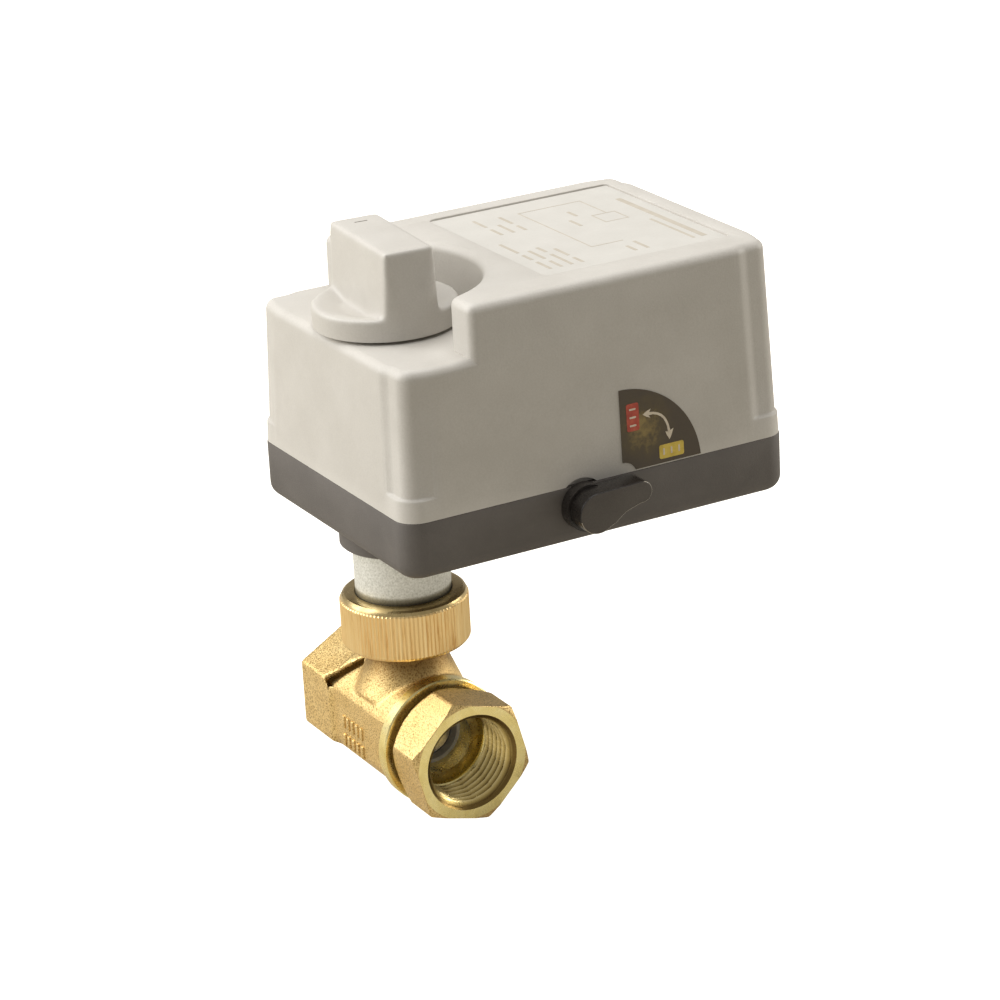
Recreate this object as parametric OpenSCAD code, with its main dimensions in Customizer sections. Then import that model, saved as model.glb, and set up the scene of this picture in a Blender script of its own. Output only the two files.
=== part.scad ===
// Motorised two-way ball valve: quarter-turn gear actuator on a brass ball valve.
// Origin at the centre of the ball, where the pipe's axis (Y) crosses the stem's axis (Z).

/* [Housing] */
// Length of the housing along X
housing_l = 94; // [92:0.5:98]
// Width of the housing along Y
housing_w = 69; // [69:0.5:74]
// Distance from the stem's axis to the housing's near end
stem_to_end = 15.8; // [15.6:0.1:17]
// Height of the line where cover and base meet, above the pipe's axis
parting_z = 60; // [60:0.5:63]
// Depth of the base below the parting line
base_h = 13; // [12.8:0.1:14]
// Height of the cover's low shelf above the parting line
shelf_h = 32.2; // [32:0.1:33]
// Height of the cover's high block above the parting line
cover_h = 43.6; // [43.4:0.1:46]
// Where the high block starts along X
step_x = 2; // [1:0.5:4]
// Thickness of the moulded walls
wall = 2.2; // [2:0.1:2.4]
// Radius of the housing's upright corners
corner_r = 5; // [4:0.5:6]
// Draft of the moulded walls in degrees
draft = 1.85; // [1:0.05:2]
// Radius of the housing's lower edges
base_edge_r = 3.2; // [2:0.2:3.4]

/* [Knob] */
// Radius of the knob's disc
knob_r = 15.7; // [15:0.1:16]
// Height of the knob's disc
knob_disc_h = 4.8; // [4:0.2:6]
// Height of the grip bar's top above the parting line
knob_top_h = 52; // [50:0.5:56]
// Width of the grip bar at its top
grip_w = 11.4; // [10:0.2:12]
// Extra width of the grip bar at its foot
grip_flare = 1.6; // [0.5:0.1:2]
// How far the knob sits round its spline from the pipe's line, in degrees
knob_turn = -4; // [-6:1:0]

/* [Valve] */
// Width across the flats of the wrench hexagons
hex_af = 25.6; // [25:0.1:26]
// Distance from the stem's axis to the front port's face
front_face = 27.6; // [27.4:0.1:29]
// Distance from the stem's axis to the rear port's face
rear_face = 28.5; // [28.4:0.1:30]
// Minor radius of the ports' half-inch pipe thread
thread_r = 9.316; // [9.2:0.004:9.4]
// Length of the ports' thread
thread_l = 12; // [11:0.5:12.5]
// Radius of the chamfer at a port's mouth
mouth_r = 10.9; // [10.5:0.1:11.2]
// Radius of the ball
ball_r = 9.2; // [9:0.1:9.4]
// Radius of the hole through the ball
ball_bore_r = 5.6; // [5:0.1:5.8]
// Radius of the round barrel of the body
barrel_r = 13.6; // [13.2:0.1:13.8]
// Half the width across the body's side flats
side_flat = 12.2; // [12:0.1:12.6]
// Radius of the turned rim at the body's open end
rim_r = 14.4; // [14:0.1:14.6]

/* [Union] */
// Outer radius of the knurled union nut
nut_r = 14.15; // [14:0.05:14.5]
// Height of the union nut's lower face
nut_z0 = 19.7; // [19.5:0.1:20]
// Height of the union nut's upper face
nut_z1 = 31.5; // [31:0.1:32]
// Outer radius of the neck sleeve
neck_r = 10.54; // [10.5:0.01:10.6]

/* [Lever] */
// Place of the lever's shaft along X
lever_x = 26.1; // [25.8:0.1:26.4]
// Depth of the lever's shaft below the parting line
lever_drop = 4.5; // [4.4:0.1:4.7]
// Angle of the lever above the X axis in the automatic position
lever_rest = 12.5; // [12:0.5:14]
// Turn of the lever between automatic and manual
lever_travel = 76; // [74:1:77]
// Distance between the centres of the lever's two round ends
lever_l = 11; // [10:0.5:12]
// Radius of the lever's round hub
lever_hub_r = 4.5; // [4.2:0.1:4.8]
// Radius of the lever's tip
lever_tip_r = 2.4; // [2:0.1:2.6]

/* [Gears] */
// Teeth in a full circle of the output sector
sector_teeth = 48; // [48]
// Teeth of the clutch gear's small pinion
small_teeth = 14; // [14]
// Module of the output pair
output_m = 1; // [1]
// Teeth of the clutch gear's large wheel
large_teeth = 40; // [40]
// Teeth of the motor's pinion
pinion_teeth = 12; // [12]
// Module of the motor pair
motor_m = 0.8; // [0.8]
// Direction of the clutch gear from the output shaft, in degrees
idler_bearing = -10; // [-12:1:-8]
// Direction of the motor's shaft from the clutch gear, in degrees
motor_bearing = 24; // [22:1:26]
// Radius of the motor's can
motor_r = 23; // [22:0.5:23]

/* [Hidden] */
$fn = 64;

// A gap that parts surfaces which belong to different moving bodies
run_gap = 0.05;
// A small overshoot that keeps cuts from ending on a face
eps = 0.1;

// Housing places
x0 = -stem_to_end;
x1 = housing_l - stem_to_end;
y1 = housing_w / 2;
base_z = parting_z - base_h;
floor_z = base_z + wall;
shelf_z = parting_z + shelf_h;
top_z = parting_z + cover_h;
// The pocket that lets the knob turn beside the high block
pocket_x = -4.8;
pocket_r = 23.6;
// Screws that hold the cover on the base
screw_x = [x0 + 6.6, x1 - 6.6];
screw_y = y1 - 6.6;
m3_r = 1.5;
m3_tap_r = 1.25;
post_r = 3.4;

// Output shaft and what sits on it
shaft_r = 4;
shaft_z0 = 47;
knob_z = shelf_z + 0.7;
knob_top_z = parting_z + knob_top_h;
shaft_z1 = knob_z + 8;
cover_hole_r = 6.2;
coupler_r = 6.9;
sleeve_bore_r = 7;
coupler_z0 = 33;
coupler_z1 = 56;
bush_r = 6;
bush_flange_r = 7.5;

// Plates of the gear frame
plate_t = 1.5;
lower_z = 62;
upper_z = 82;
plate_x0 = -12.4;
lower_x1 = 55.5;
upper_x1 = 73.5;
tongue_x1 = 62;
plate_y = 27;
shoulder_y = 24;
shoulder_x = -4;
pillar_r = 2.5;
stand_r = 3;
pillar_spots = [[-9.8, 20], [-9.8, -15], [52, -23.5], [30, 24]];

// Gear levels
sector_z = 66;
sector_t = 3;
small_z = 65.8;
hub_z = 69;
large_z = 71;
large_t = 3;
pressure = 20;
addendum = 0.75;
dedendum = 1.1;
backlash = 0.08;
mesh_slack = 0.05;
sector_pitch_r = sector_teeth * output_m / 2;
small_pitch_r = small_teeth * output_m / 2;
large_pitch_r = large_teeth * motor_m / 2;
pinion_pitch_r = pinion_teeth * motor_m / 2;
idler_d = sector_pitch_r + small_pitch_r + mesh_slack;
motor_d = large_pitch_r + pinion_pitch_r + mesh_slack;
idler_at = [idler_d * cos(idler_bearing), idler_d * sin(idler_bearing)];
motor_at = [idler_at[0] + motor_d * cos(motor_bearing), idler_at[1] + motor_d * sin(motor_bearing)];
arbor_r = 2;
// First and last tooth of the sector, counted from the tooth in mesh at rest
sector_first = -13;
sector_last = 1;

// Clutch
fork_t = 1.4;
fork_z = 69.3;
fork_y0 = -24;
fork_y1 = -22.5;
fork_x0 = 23;
fork_x1 = 38;
blade_x0 = 25.6;
blade_x1 = 33;
fork_foot_z = 50.4;
guide_at = [21.5, -23.5];
guide_r = 1.5;
crank_r = 3.5;
crank_pin_r = 1;
crank_angle = -lever_travel / 2;
lever_z = parting_z - lever_drop;
lever_shaft_r = 2.5;
lever_face_y = -y1 - 7;
crank_y = -27.4;

// Union
collar_r = 11.6;
collar_z0 = 20;
collar_z1 = 26;
gasket_t = 0.8;
flange_z0 = collar_z1 + gasket_t;
flange_z1 = 28.5;
flange_r = 11.4;
stem_bore_r = 4.03;
stem_r = 3.98;
stem_boss_r = 8.4;

// Valve chamber
chamber_r = 10.2;
rim_y = -14.5;
rim_l = 3.1;
seat_y = 9.2;
seat_in_r = 6.2;
seat_out_r = 9.8;
seat_front_y = 5.2;
port_bore_r = 7;
hex_y = 14.5;
cap_hex_y = -16;
cap_collar_r = 12.2;
spigot_r = 10.1;
stem_flange_z = 9.9;
stem_flange_r = 5.4;

// Motor
motor_z = upper_z + plate_t;
motor_h = 16;
ear_t = 1.2;
ear_d = 27;
ear_r = 3.5;
ear_angles = [40, 220];

// Limit switches: one above the other beside the shaft
switch_size = [19.8, 10.2, 6.2];
switch_at = [-6, 11];
switch_z = [69.2, 75.8];
plunger_x = 0;
plunger_r = 1.2;
plunger_out = 2.2;
cam_r = 8.6;
cam_low_r = 7.4;
cam_t = 3;

// Electrical parts
board_size = [17, 48, 1.6];
board_at = [57, -24];
board_z = 65.6;
board_posts = [[60, -22], [71, -22], [60, 22], [71, 22]];

// Details of seals, screws, labels and electrical parts
lever_flange_r = 5.2;
drive_w = 5.6;
stem_groove_z = [15, 18.5];
oring_r = 0.75;
neck_flange_r = 13.3;
neck_flange_t = 2.4;
neck_ear_r = 3.4;
neck_screw_r = 14.5;
neck_screw_angles = [0, 95, -95];
neck_collar_r = 13.2;
neck_collar_z = base_z - 3.8;
groove_in = 0.8;
groove_w = 0.9;
groove_d = 1;
head_recess = 3;
grommet_y = 20;
grommet_z = base_z + 7.3;
grommet_hole_r = 4;
label_x = [25.4, 71.3];
label_y = [-24.4, 27.2];
label_depth = 0.5;
mode_x = 36.4;
mode_r = 19.4;
mode_notch_r = 3.4;
mode_t = 0.15;
seal_y = -y1 + 2.4;
spring_r = 3.1;
spring_wire = 0.4;
spring_turns = 5;
spring_z0 = large_z + large_t + 0.5;
spring_z1 = upper_z - 0.45;
spring_sides = 8;
spring_rings = spring_turns * 16;
terminal_ways = 5;
terminal_pitch = 5.08;
terminal_at = [62, -18.5];
terminal_h = 10;

// ---------- shared shapes ----------

// A moulded block with upright rounded corners that narrows upwards by the draft
module drafted_block(xa, xb, ya, yb, za, zb, r) {
    lean = (zb - za) * tan(draft);
    hull() for (x = [xa + r, xb - r], y = [ya + r, yb - r])
        translate([x, y, za]) cylinder(h = zb - za, r1 = r, r2 = max(r - lean, 0.5), $fn = 32);
}

// A ring about Z between two heights
module ring_z(r_out, r_in, za, zb) {
    difference() {
        translate([0, 0, za]) cylinder(h = zb - za, r = r_out);
        translate([0, 0, za - eps]) cylinder(h = zb - za + 2 * eps, r = r_in);
    }
}

// A cylinder along Y between two places
module rod_y(r, ya, yb) {
    translate([0, ya, 0]) rotate([-90, 0, 0]) cylinder(h = yb - ya, r = r);
}

// A cone along Y between two places
module cone_y(ra, rb, ya, yb) {
    translate([0, ya, 0]) rotate([-90, 0, 0]) cylinder(h = yb - ya, r1 = ra, r2 = rb);
}

// A hexagonal bar along Y with its outer corners turned off at the face end
module hex_y_bar(ya, yb, turn, face_low) {
    corner = hex_af / sqrt(3);
    bevel = 1.6;
    intersection() {
        translate([0, ya, 0]) rotate([-90, 0, 0]) rotate([0, 0, turn])
            cylinder(h = yb - ya, r = corner, $fn = 6);
        union() {
            if (face_low) {
                cone_y(corner - bevel, corner, ya, ya + bevel / 2);
                rod_y(corner, ya + bevel / 2, yb);
            } else {
                rod_y(corner, ya, yb - bevel / 2);
                cone_y(corner, corner - bevel, yb - bevel / 2, yb);
            }
        }
    }
}

// A pan-headed screw whose shank points along +Z from its head at z = 0
module screw(head_r, head_h, shank_r, shank_l) {
    difference() {
        translate([0, 0, -head_h]) cylinder(h = head_h, r = head_r);
        for (a = [0, 90]) rotate([0, 0, a])
            translate([-head_r * 0.6, -0.3, -head_h - eps]) cube([head_r * 1.2, 0.6, 0.9]);
    }
    cylinder(h = shank_l, r = shank_r);
}

// Point of an involute at radius r, from base radius rb, starting at angle a
function involute_angle(r, rb) = let (t = sqrt(max(r * r / (rb * rb) - 1, 0))) t * 180 / PI - atan(t);
function polar(r, a) = [r * cos(a), r * sin(a)];
// One tooth flank's points from root to tip; side is +1 or -1
function flank(r_root, r_tip, rb, half, side) =
    let (steps = 5, start = max(rb, r_root))
    concat(
        [polar(r_root, side * half)],
        [for (i = [0:steps]) let (r = start + (r_tip - start) * i / steps)
            polar(r, side * (half - involute_angle(r, rb)))]
    );
// The outline of one tooth centred on angle 0
function tooth_points(teeth, m) =
    let (
        rp = teeth * m / 2,
        rb = rp * cos(pressure),
        r_root = rp - dedendum * m,
        r_tip = rp + addendum * m,
        half = 90 / teeth - backlash / rp * 90 / PI + involute_angle(rp, rb),
        up = flank(r_root, r_tip, rb, half, 1),
        down = flank(r_root, r_tip, rb, half, -1)
    )
    concat(
        [polar(r_root - 0.4, half)],
        up,
        [for (i = [len(down) - 1:-1:0]) down[i]],
        [polar(r_root - 0.4, -half)]
    );

// A spur wheel with a tooth centred on the direction phase
module spur(teeth, m, h, phase) {
    r_root = teeth * m / 2 - dedendum * m;
    linear_extrude(height = h) {
        circle(r = r_root);
        for (k = [0:teeth - 1])
            rotate(phase + k * 360 / teeth) polygon(tooth_points(teeth, m));
    }
}

// ---------- valve ----------

module valve_body() {
    color("darkgoldenrod") difference() {
        union() {
            hex_y_bar(hex_y, rear_face, 30, false);
            intersection() {
                rod_y(barrel_r, rim_y + rim_l, hex_y);
                translate([-side_flat, rim_y, -barrel_r]) cube([2 * side_flat, 60, 2 * barrel_r]);
            }
            rod_y(rim_r, rim_y, rim_y + rim_l);
            translate([0, 0, 6]) cylinder(h = collar_z0 - 6, r = stem_boss_r);
            translate([0, 0, collar_z0]) cylinder(h = collar_z1 - collar_z0, r = collar_r);
        }
        rod_y(chamber_r, rim_y - eps, seat_y);
        rod_y(port_bore_r, 0, rear_face - thread_l);
        rod_y(thread_r, rear_face - thread_l - 1, rear_face + eps);
        cone_y(thread_r, mouth_r, rear_face - (mouth_r - thread_r), rear_face + 0.01);
        cylinder(h = collar_z1 + eps, r = stem_bore_r);
        cylinder(h = stem_flange_z + 2.6, r = stem_flange_r + 0.1);
    }
}

module valve_end_cap() {
    color("goldenrod") difference() {
        union() {
            hex_y_bar(-front_face, cap_hex_y, 17.6, true);
            rod_y(cap_collar_r, cap_hex_y, rim_y);
            rod_y(spigot_r, rim_y, -seat_y);
        }
        rod_y(thread_r, -front_face - eps, -front_face + thread_l + 1);
        cone_y(mouth_r, thread_r, -front_face - 0.01, -front_face + mouth_r - thread_r);
        rod_y(port_bore_r, -front_face + thread_l, -seat_y + eps);
    }
}

module ball() {
    slot_w = 3.2;
    slot_z = 6.6;
    color("silver") difference() {
        sphere(r = ball_r);
        rod_y(ball_bore_r, -ball_r - eps, ball_r + eps);
        translate([-slot_w / 2, -ball_r, slot_z]) cube([slot_w, 2 * ball_r, ball_r]);
    }
}

// A seat ring on the side given by +1 (rear) or -1 (front)
module seat(side) {
    clear = 0.08;
    ya = side > 0 ? seat_front_y : -seat_y;
    yb = side > 0 ? seat_y : -seat_front_y;
    color("whitesmoke") difference() {
        rod_y(seat_out_r, ya, yb);
        rod_y(seat_in_r, ya - eps, yb + eps);
        sphere(r = ball_r + clear);
    }
}

module seat_front() { seat(-1); }
module seat_rear() { seat(1); }

module valve_stem() {
    tang_w = 3;
    tang_z = 6.8;
    tang_l = 9;
    color("lightgray") difference() {
        union() {
            translate([-tang_w / 2, -tang_l / 2, tang_z])
                cube([tang_w, tang_l, stem_flange_z + 0.5 - tang_z]);
            translate([0, 0, stem_flange_z]) cylinder(h = 1.6, r = stem_flange_r);
            translate([0, 0, stem_flange_z]) cylinder(h = collar_z1 + 4 - stem_flange_z, r = stem_r);
            translate([-drive_w / 2, -drive_w / 2, collar_z1]) cube([drive_w, drive_w, 16]);
        }
        for (z = stem_groove_z) translate([0, 0, z - oring_r])
            ring_z(5, stem_r - 2 * oring_r - run_gap, -run_gap, 2 * oring_r + run_gap);
    }
}

module stem_orings() {
    color("black") for (z = stem_groove_z) translate([0, 0, z])
        rotate_extrude() translate([stem_r - oring_r - 0.02, 0]) circle(r = oring_r, $fn = 24);
}

module stem_washer() {
    color("whitesmoke") ring_z(stem_flange_r, stem_bore_r, stem_flange_z + 1.7, stem_flange_z + 2.5);
}

// ---------- union between valve and actuator ----------

module union_gasket() {
    color("dimgray") ring_z(flange_r, sleeve_bore_r, collar_z1, flange_z0);
}

module union_nut() {
    lip_z = flange_z1 + 0.1;
    edge = 0.8;
    color("goldenrod") rotate_extrude($fn = 96) polygon([
        [collar_r + run_gap, nut_z0], [nut_r - edge / 2, nut_z0], [nut_r, nut_z0 + edge / 2],
        [nut_r, nut_z1 - edge], [nut_r - edge, nut_z1], [neck_r + run_gap, nut_z1],
        [neck_r + run_gap, lip_z], [collar_r + run_gap, lip_z]
    ]);
}

module neck_sleeve() {
    color("gainsboro") difference() {
        union() {
            translate([0, 0, flange_z0]) cylinder(h = flange_z1 - flange_z0, r = flange_r);
            translate([0, 0, flange_z0]) cylinder(h = floor_z - flange_z0, r = neck_r);
            translate([0, 0, floor_z]) cylinder(h = neck_flange_t, r = neck_flange_r);
            for (a = neck_screw_angles) rotate([0, 0, a])
                translate([neck_screw_r, 0, floor_z]) cylinder(h = neck_flange_t, r = neck_ear_r);
        }
        translate([0, 0, flange_z0 - eps]) cylinder(h = 40, r = sleeve_bore_r);
        for (a = neck_screw_angles) rotate([0, 0, a])
            translate([neck_screw_r, 0, floor_z - eps]) cylinder(h = 4, r = m3_r);
    }
}

module neck_screws() {
    head_h = 1.6;
    color("silver") for (a = neck_screw_angles) rotate([0, 0, a])
        translate([neck_screw_r, 0, floor_z + neck_flange_t]) rotate([180, 0, 0])
            screw(2.3, head_h, m3_tap_r, 4.2);
}

// ---------- housing ----------

module base_outline() {
    r = corner_r;
    hull() for (x = [x0 + r, x1 - r], y = [-y1 + r, y1 - r]) {
        translate([x, y, parting_z - 1]) cylinder(h = 1, r = r, $fn = 32);
        translate([x, y, base_z + base_edge_r]) rotate_extrude($fn = 32) intersection() {
            translate([r - base_edge_r, 0]) circle(r = base_edge_r, $fn = 32);
            translate([0, -base_edge_r]) square([r, base_edge_r]);
        }
    }
}

// The gasket's ring: a band that follows the wall's middle
module gasket_band(slack, za, zb) {
    difference() {
        drafted_ring(groove_in - slack, za, zb);
        drafted_ring(groove_in + groove_w + slack, za - eps, zb + eps);
    }
}

// An upright block inset from the housing's outline
module drafted_ring(inset, za, zb) {
    r = corner_r - inset;
    translate([0, 0, za]) linear_extrude(height = zb - za) union() {
        for (x = [x0 + inset + r, x1 - inset - r], y = [-y1 + inset + r, y1 - inset - r])
            translate([x, y]) circle(r = r);
        translate([x0 + inset + r, -y1 + inset]) square([x1 - x0 - 2 * inset - 2 * r, 2 * y1 - 2 * inset]);
        translate([x0 + inset, -y1 + inset + r]) square([x1 - x0 - 2 * inset, 2 * y1 - 2 * inset - 2 * r]);
    }
}

module base_housing() {
    color([0.29, 0.26, 0.24]) difference() {
        union() {
            difference() {
                base_outline();
                drafted_ring(wall, floor_z, parting_z + 1);
            }
            translate([0, 0, neck_collar_z]) cylinder(h = floor_z - neck_collar_z, r = neck_collar_r);
            for (x = screw_x, y = [-screw_y, screw_y])
                translate([x, y, base_z + 1]) cylinder(h = base_h - 1, r = post_r);
            for (p = board_posts) translate([p[0], p[1], base_z + 1])
                cylinder(h = board_z - base_z - 1, r = 2.4);
            for (p = pillar_spots) translate([p[0], p[1], base_z + 1])
                cylinder(h = lower_z - base_z - 1, r = stand_r);
            translate([lever_x, 0, lever_z]) rod_y(lever_hub_r, -y1 + 1, -y1 + 5);
        }
        translate([0, 0, neck_collar_z - eps]) cylinder(h = 10, r = neck_r + 0.01);
        for (a = neck_screw_angles) rotate([0, 0, a])
            translate([neck_screw_r, 0, floor_z - 1.9]) cylinder(h = 3, r = m3_tap_r);
        for (x = screw_x, y = [-screw_y, screw_y]) translate([x, y, base_z - eps]) {
            cylinder(h = 20, r = m3_r);
            cylinder(h = head_recess + eps, r = 2.9);
        }
        for (p = board_posts) translate([p[0], p[1], board_z - 6]) cylinder(h = 7, r = m3_tap_r);
        for (p = pillar_spots) translate([p[0], p[1], lower_z - 6]) cylinder(h = 7, r = m3_tap_r);
        translate([lever_x, 0, lever_z]) rod_y(lever_shaft_r + run_gap, -y1 - eps, -y1 + 6);
        translate([lever_x, 0, lever_z]) rod_y(lever_hub_r + 0.1, -y1 - 1, -y1 + 1);
        translate([x1 + eps, grommet_y, grommet_z]) rotate([0, -90, 0])
            cylinder(h = wall + 1, r = grommet_hole_r);
        gasket_band(0.05, parting_z - groove_d, parting_z + 1);
    }
}

module housing_gasket() {
    color("black") gasket_band(-0.05, parting_z - groove_d, parting_z);
}

// The space over the low shelf, and the pocket in the high block that the knob turns in
module shelf_cut(skin) {
    translate([x0 - 5, -housing_w, shelf_z - skin]) cube([step_x + skin - x0 + 5, 2 * housing_w, cover_h]);
    translate([pocket_x, 0, shelf_z - skin]) cylinder(h = cover_h, r = pocket_r + skin);
}

module cover() {
    gap = 0.1;
    color([0.78, 0.76, 0.71]) difference() {
        drafted_block(x0 + gap, x1 - gap, -y1 + gap, y1 - gap, parting_z, top_z, corner_r);
        shelf_cut(0);
        difference() {
            drafted_block(x0 + wall, x1 - wall, -y1 + wall, y1 - wall, parting_z - 1, top_z - wall,
                corner_r - wall);
            shelf_cut(wall);
            for (x = screw_x, y = [-screw_y, screw_y])
                translate([x, y, parting_z - 2]) cylinder(h = cover_h + 4, r = post_r);
            translate([0, 0, shelf_z - 4.4]) cylinder(h = 6, r = cover_hole_r + 2);
        }
        translate([0, 0, shelf_z - 5]) cylinder(h = 6, r = cover_hole_r);
        for (x = screw_x, y = [-screw_y, screw_y])
            translate([x, y, parting_z - eps]) cylinder(h = 12, r = m3_tap_r);
        translate([label_x[0], label_y[0], top_z - label_depth])
            cube([label_x[1] - label_x[0], label_y[1] - label_y[0], 2]);
        translate([lever_x, 0, lever_z]) rod_y(lever_hub_r + 1.4, -y1 - 1, -y1 + 1.2);
    }
}

module cover_screws() {
    color("silver") for (x = screw_x, y = [-screw_y, screw_y])
        translate([x, y, base_z + head_recess]) screw(2.7, 2, m3_tap_r, 18);
}

module shaft_seal() {
    seal_r = (cover_hole_r - shaft_r) / 2;
    color("black") translate([0, 0, shelf_z - 2.6]) difference() {
        rotate_extrude() translate([shaft_r + seal_r, 0]) circle(r = seal_r - 0.02, $fn = 24);
        cylinder(h = 4, r = shaft_r + run_gap, center = true);
    }
}

module top_label() {
    edge = 0.4;
    color("white") translate([label_x[0] + edge, label_y[0] + edge, top_z - label_depth])
        cube([label_x[1] - label_x[0] - 2 * edge, label_y[1] - label_y[0] - 2 * edge, 0.15]);
}

// A quarter of a ring stuck on the drafted front wall
module mode_label() {
    color("olive") translate([mode_x, -y1 + 0.1, parting_z]) rotate([90 - draft, 0, 0])
        linear_extrude(height = mode_t) difference() {
            intersection() {
                translate([0, -1]) circle(r = mode_r, $fn = 96);
                translate([0, 0.3]) square([mode_r + 1, mode_r + 1]);
            }
            translate([0, -1]) circle(r = mode_notch_r);
        }
}

module cable_grommet() {
    lip = 1.4;
    color("black") translate([x1 + lip, grommet_y, grommet_z]) rotate([0, -90, 0]) difference() {
        union() {
            cylinder(h = lip, r = grommet_hole_r + 1.2);
            cylinder(h = 2 * lip + wall, r = grommet_hole_r);
            translate([0, 0, lip + wall]) cylinder(h = lip, r = grommet_hole_r + 1);
        }
        translate([0, 0, -eps]) cylinder(h = 12, r = 3.2);
    }
}

// ---------- knob ----------

module position_knob() {
    mark_l = 3;
    color([0.78, 0.76, 0.71]) rotate([0, 0, knob_turn]) difference() {
        union() {
            translate([0, 0, knob_z]) cylinder(h = knob_disc_h, r = knob_r);
            intersection() {
                translate([0, 0, knob_z]) cylinder(h = 40, r = knob_r);
                hull() {
                    translate([-(grip_w + grip_flare) / 2, -knob_r, knob_z])
                        cube([grip_w + grip_flare, 2 * knob_r, 0.1]);
                    translate([-grip_w / 2, -knob_r + 1, knob_top_z - 0.1])
                        cube([grip_w, 2 * knob_r - 2, 0.1]);
                }
            }
        }
        rotate([0, 0, -knob_turn]) translate([0, 0, knob_z - eps])
            cylinder(h = shaft_z1 - knob_z + eps, r = shaft_r + 0.01);
        translate([-mark_l / 2, 10, knob_top_z - 0.4]) cube([mark_l, 0.6, 1]);
    }
}

// ---------- manual lever ----------

module lever_profile() {
    rotate([90, 0, 0]) linear_extrude(height = 5.4) hull() {
        circle(r = lever_hub_r, $fn = 48);
        rotate(lever_rest) translate([lever_l, 0]) circle(r = lever_tip_r, $fn = 32);
    }
}

module manual_lever() {
    color([0.15, 0.14, 0.13]) difference() {
        union() {
            translate([lever_x, lever_face_y + 5.4, lever_z]) lever_profile();
            translate([lever_x, 0, lever_z]) rod_y(lever_flange_r, lever_face_y + 4.4, -y1 - 0.12);
            translate([lever_x, 0, lever_z]) rod_y(lever_hub_r - 0.3, lever_face_y + 2, -y1 + 0.8);
        }
        translate([lever_x, 0, lever_z]) rod_y(lever_shaft_r, lever_face_y + 2, -y1 + 2);
    }
}

module lever_shaft() {
    pin = polar(crank_r, crank_angle);
    color("silver") translate([lever_x, 0, lever_z]) difference() {
        union() {
            rod_y(lever_shaft_r, lever_face_y + 2, crank_y);
            rod_y(crank_r + crank_pin_r + 0.2, crank_y, -25);
            translate([pin[0], 0, pin[1]]) rod_y(crank_pin_r, -25.5, fork_y1 + 0.5);
        }
        ring_y_groove();
    }
}

module ring_y_groove() {
    difference() {
        rod_y(lever_shaft_r + 1, seal_y - 0.6, seal_y + 0.6);
        rod_y(lever_shaft_r - 1.1, seal_y - 1, seal_y + 1);
    }
}

module lever_seal() {
    color("black") translate([lever_x, seal_y, lever_z]) rotate([-90, 0, 0])
        rotate_extrude() translate([lever_shaft_r - 0.56, 0]) circle(r = 0.52, $fn = 24);
}

// ---------- gear frame ----------

// The outline of a plate, narrower at the ends to clear the cover's screw posts
module plate(z, far_x) {
    translate([plate_x0, -shoulder_y, z]) cube([far_x - plate_x0, 2 * shoulder_y, plate_t]);
    translate([shoulder_x, -plate_y, z])
        cube([min(far_x, tongue_x1) - shoulder_x, 2 * plate_y, plate_t]);
}

// Holes that both plates share: shaft bushing, pillars, arbor and guide post
module plate_holes(z) {
    translate([0, 0, z - eps]) {
        cylinder(h = plate_t + 1, r = bush_r);
        for (p = pillar_spots) translate(p) cylinder(h = plate_t + 1, r = m3_r);
        translate(idler_at) cylinder(h = plate_t + 1, r = arbor_r);
        translate(guide_at) cylinder(h = plate_t + 1, r = guide_r);
    }
}

module frame_lower_plate() {
    window = 0.8;
    color("silver") difference() {
        plate(lower_z, lower_x1);
        plate_holes(lower_z);
        translate([blade_x0 - window, fork_y0 - window, lower_z - eps])
            cube([blade_x1 - blade_x0 + 2 * window, fork_y1 - fork_y0 + 2 * window, 2]);
    }
}

module frame_upper_plate() {
    pinion_hole_r = 3;
    color("silver") difference() {
        plate(upper_z, upper_x1);
        plate_holes(upper_z);
        translate([motor_at[0], motor_at[1], upper_z - eps]) {
            cylinder(h = 2, r = pinion_hole_r);
            for (a = ear_angles) rotate([0, 0, a]) translate([ear_d, 0, 0]) cylinder(h = 2, r = m3_tap_r);
        }
    }
}

module frame_pillars() {
    color("goldenrod") for (p = pillar_spots) translate([p[0], p[1], 0])
        ring_z(pillar_r, m3_tap_r, lower_z + plate_t, upper_z);
}

module frame_screws() {
    color("silver") for (p = pillar_spots) translate([p[0], p[1], 0]) {
        translate([0, 0, upper_z + plate_t]) rotate([180, 0, 0]) screw(2.4, 1.6, m3_tap_r, 8);
        translate([0, 0, lower_z - 5.5]) cylinder(h = 11, r = m3_tap_r);
    }
}

module shaft_bushings() {
    color("darkgoldenrod") {
        ring_z(bush_r, shaft_r + run_gap, lower_z, lower_z + plate_t);
        ring_z(bush_flange_r, shaft_r + run_gap, lower_z + plate_t, lower_z + plate_t + 1);
        ring_z(bush_r, shaft_r + run_gap, upper_z, upper_z + plate_t);
        ring_z(bush_flange_r, shaft_r + run_gap, upper_z - 1, upper_z);
    }
}

// ---------- output shaft group ----------

module output_shaft() {
    color("silver") translate([0, 0, shaft_z0]) cylinder(h = shaft_z1 - shaft_z0, r = shaft_r);
}

module drive_coupler() {
    color("dimgray") difference() {
        translate([0, 0, coupler_z0]) cylinder(h = coupler_z1 - coupler_z0, r = coupler_r);
        translate([-drive_w / 2, -drive_w / 2, coupler_z0 - eps]) cube([drive_w, drive_w, 10]);
        translate([0, 0, shaft_z0]) cylinder(h = 20, r = shaft_r);
    }
}

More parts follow.
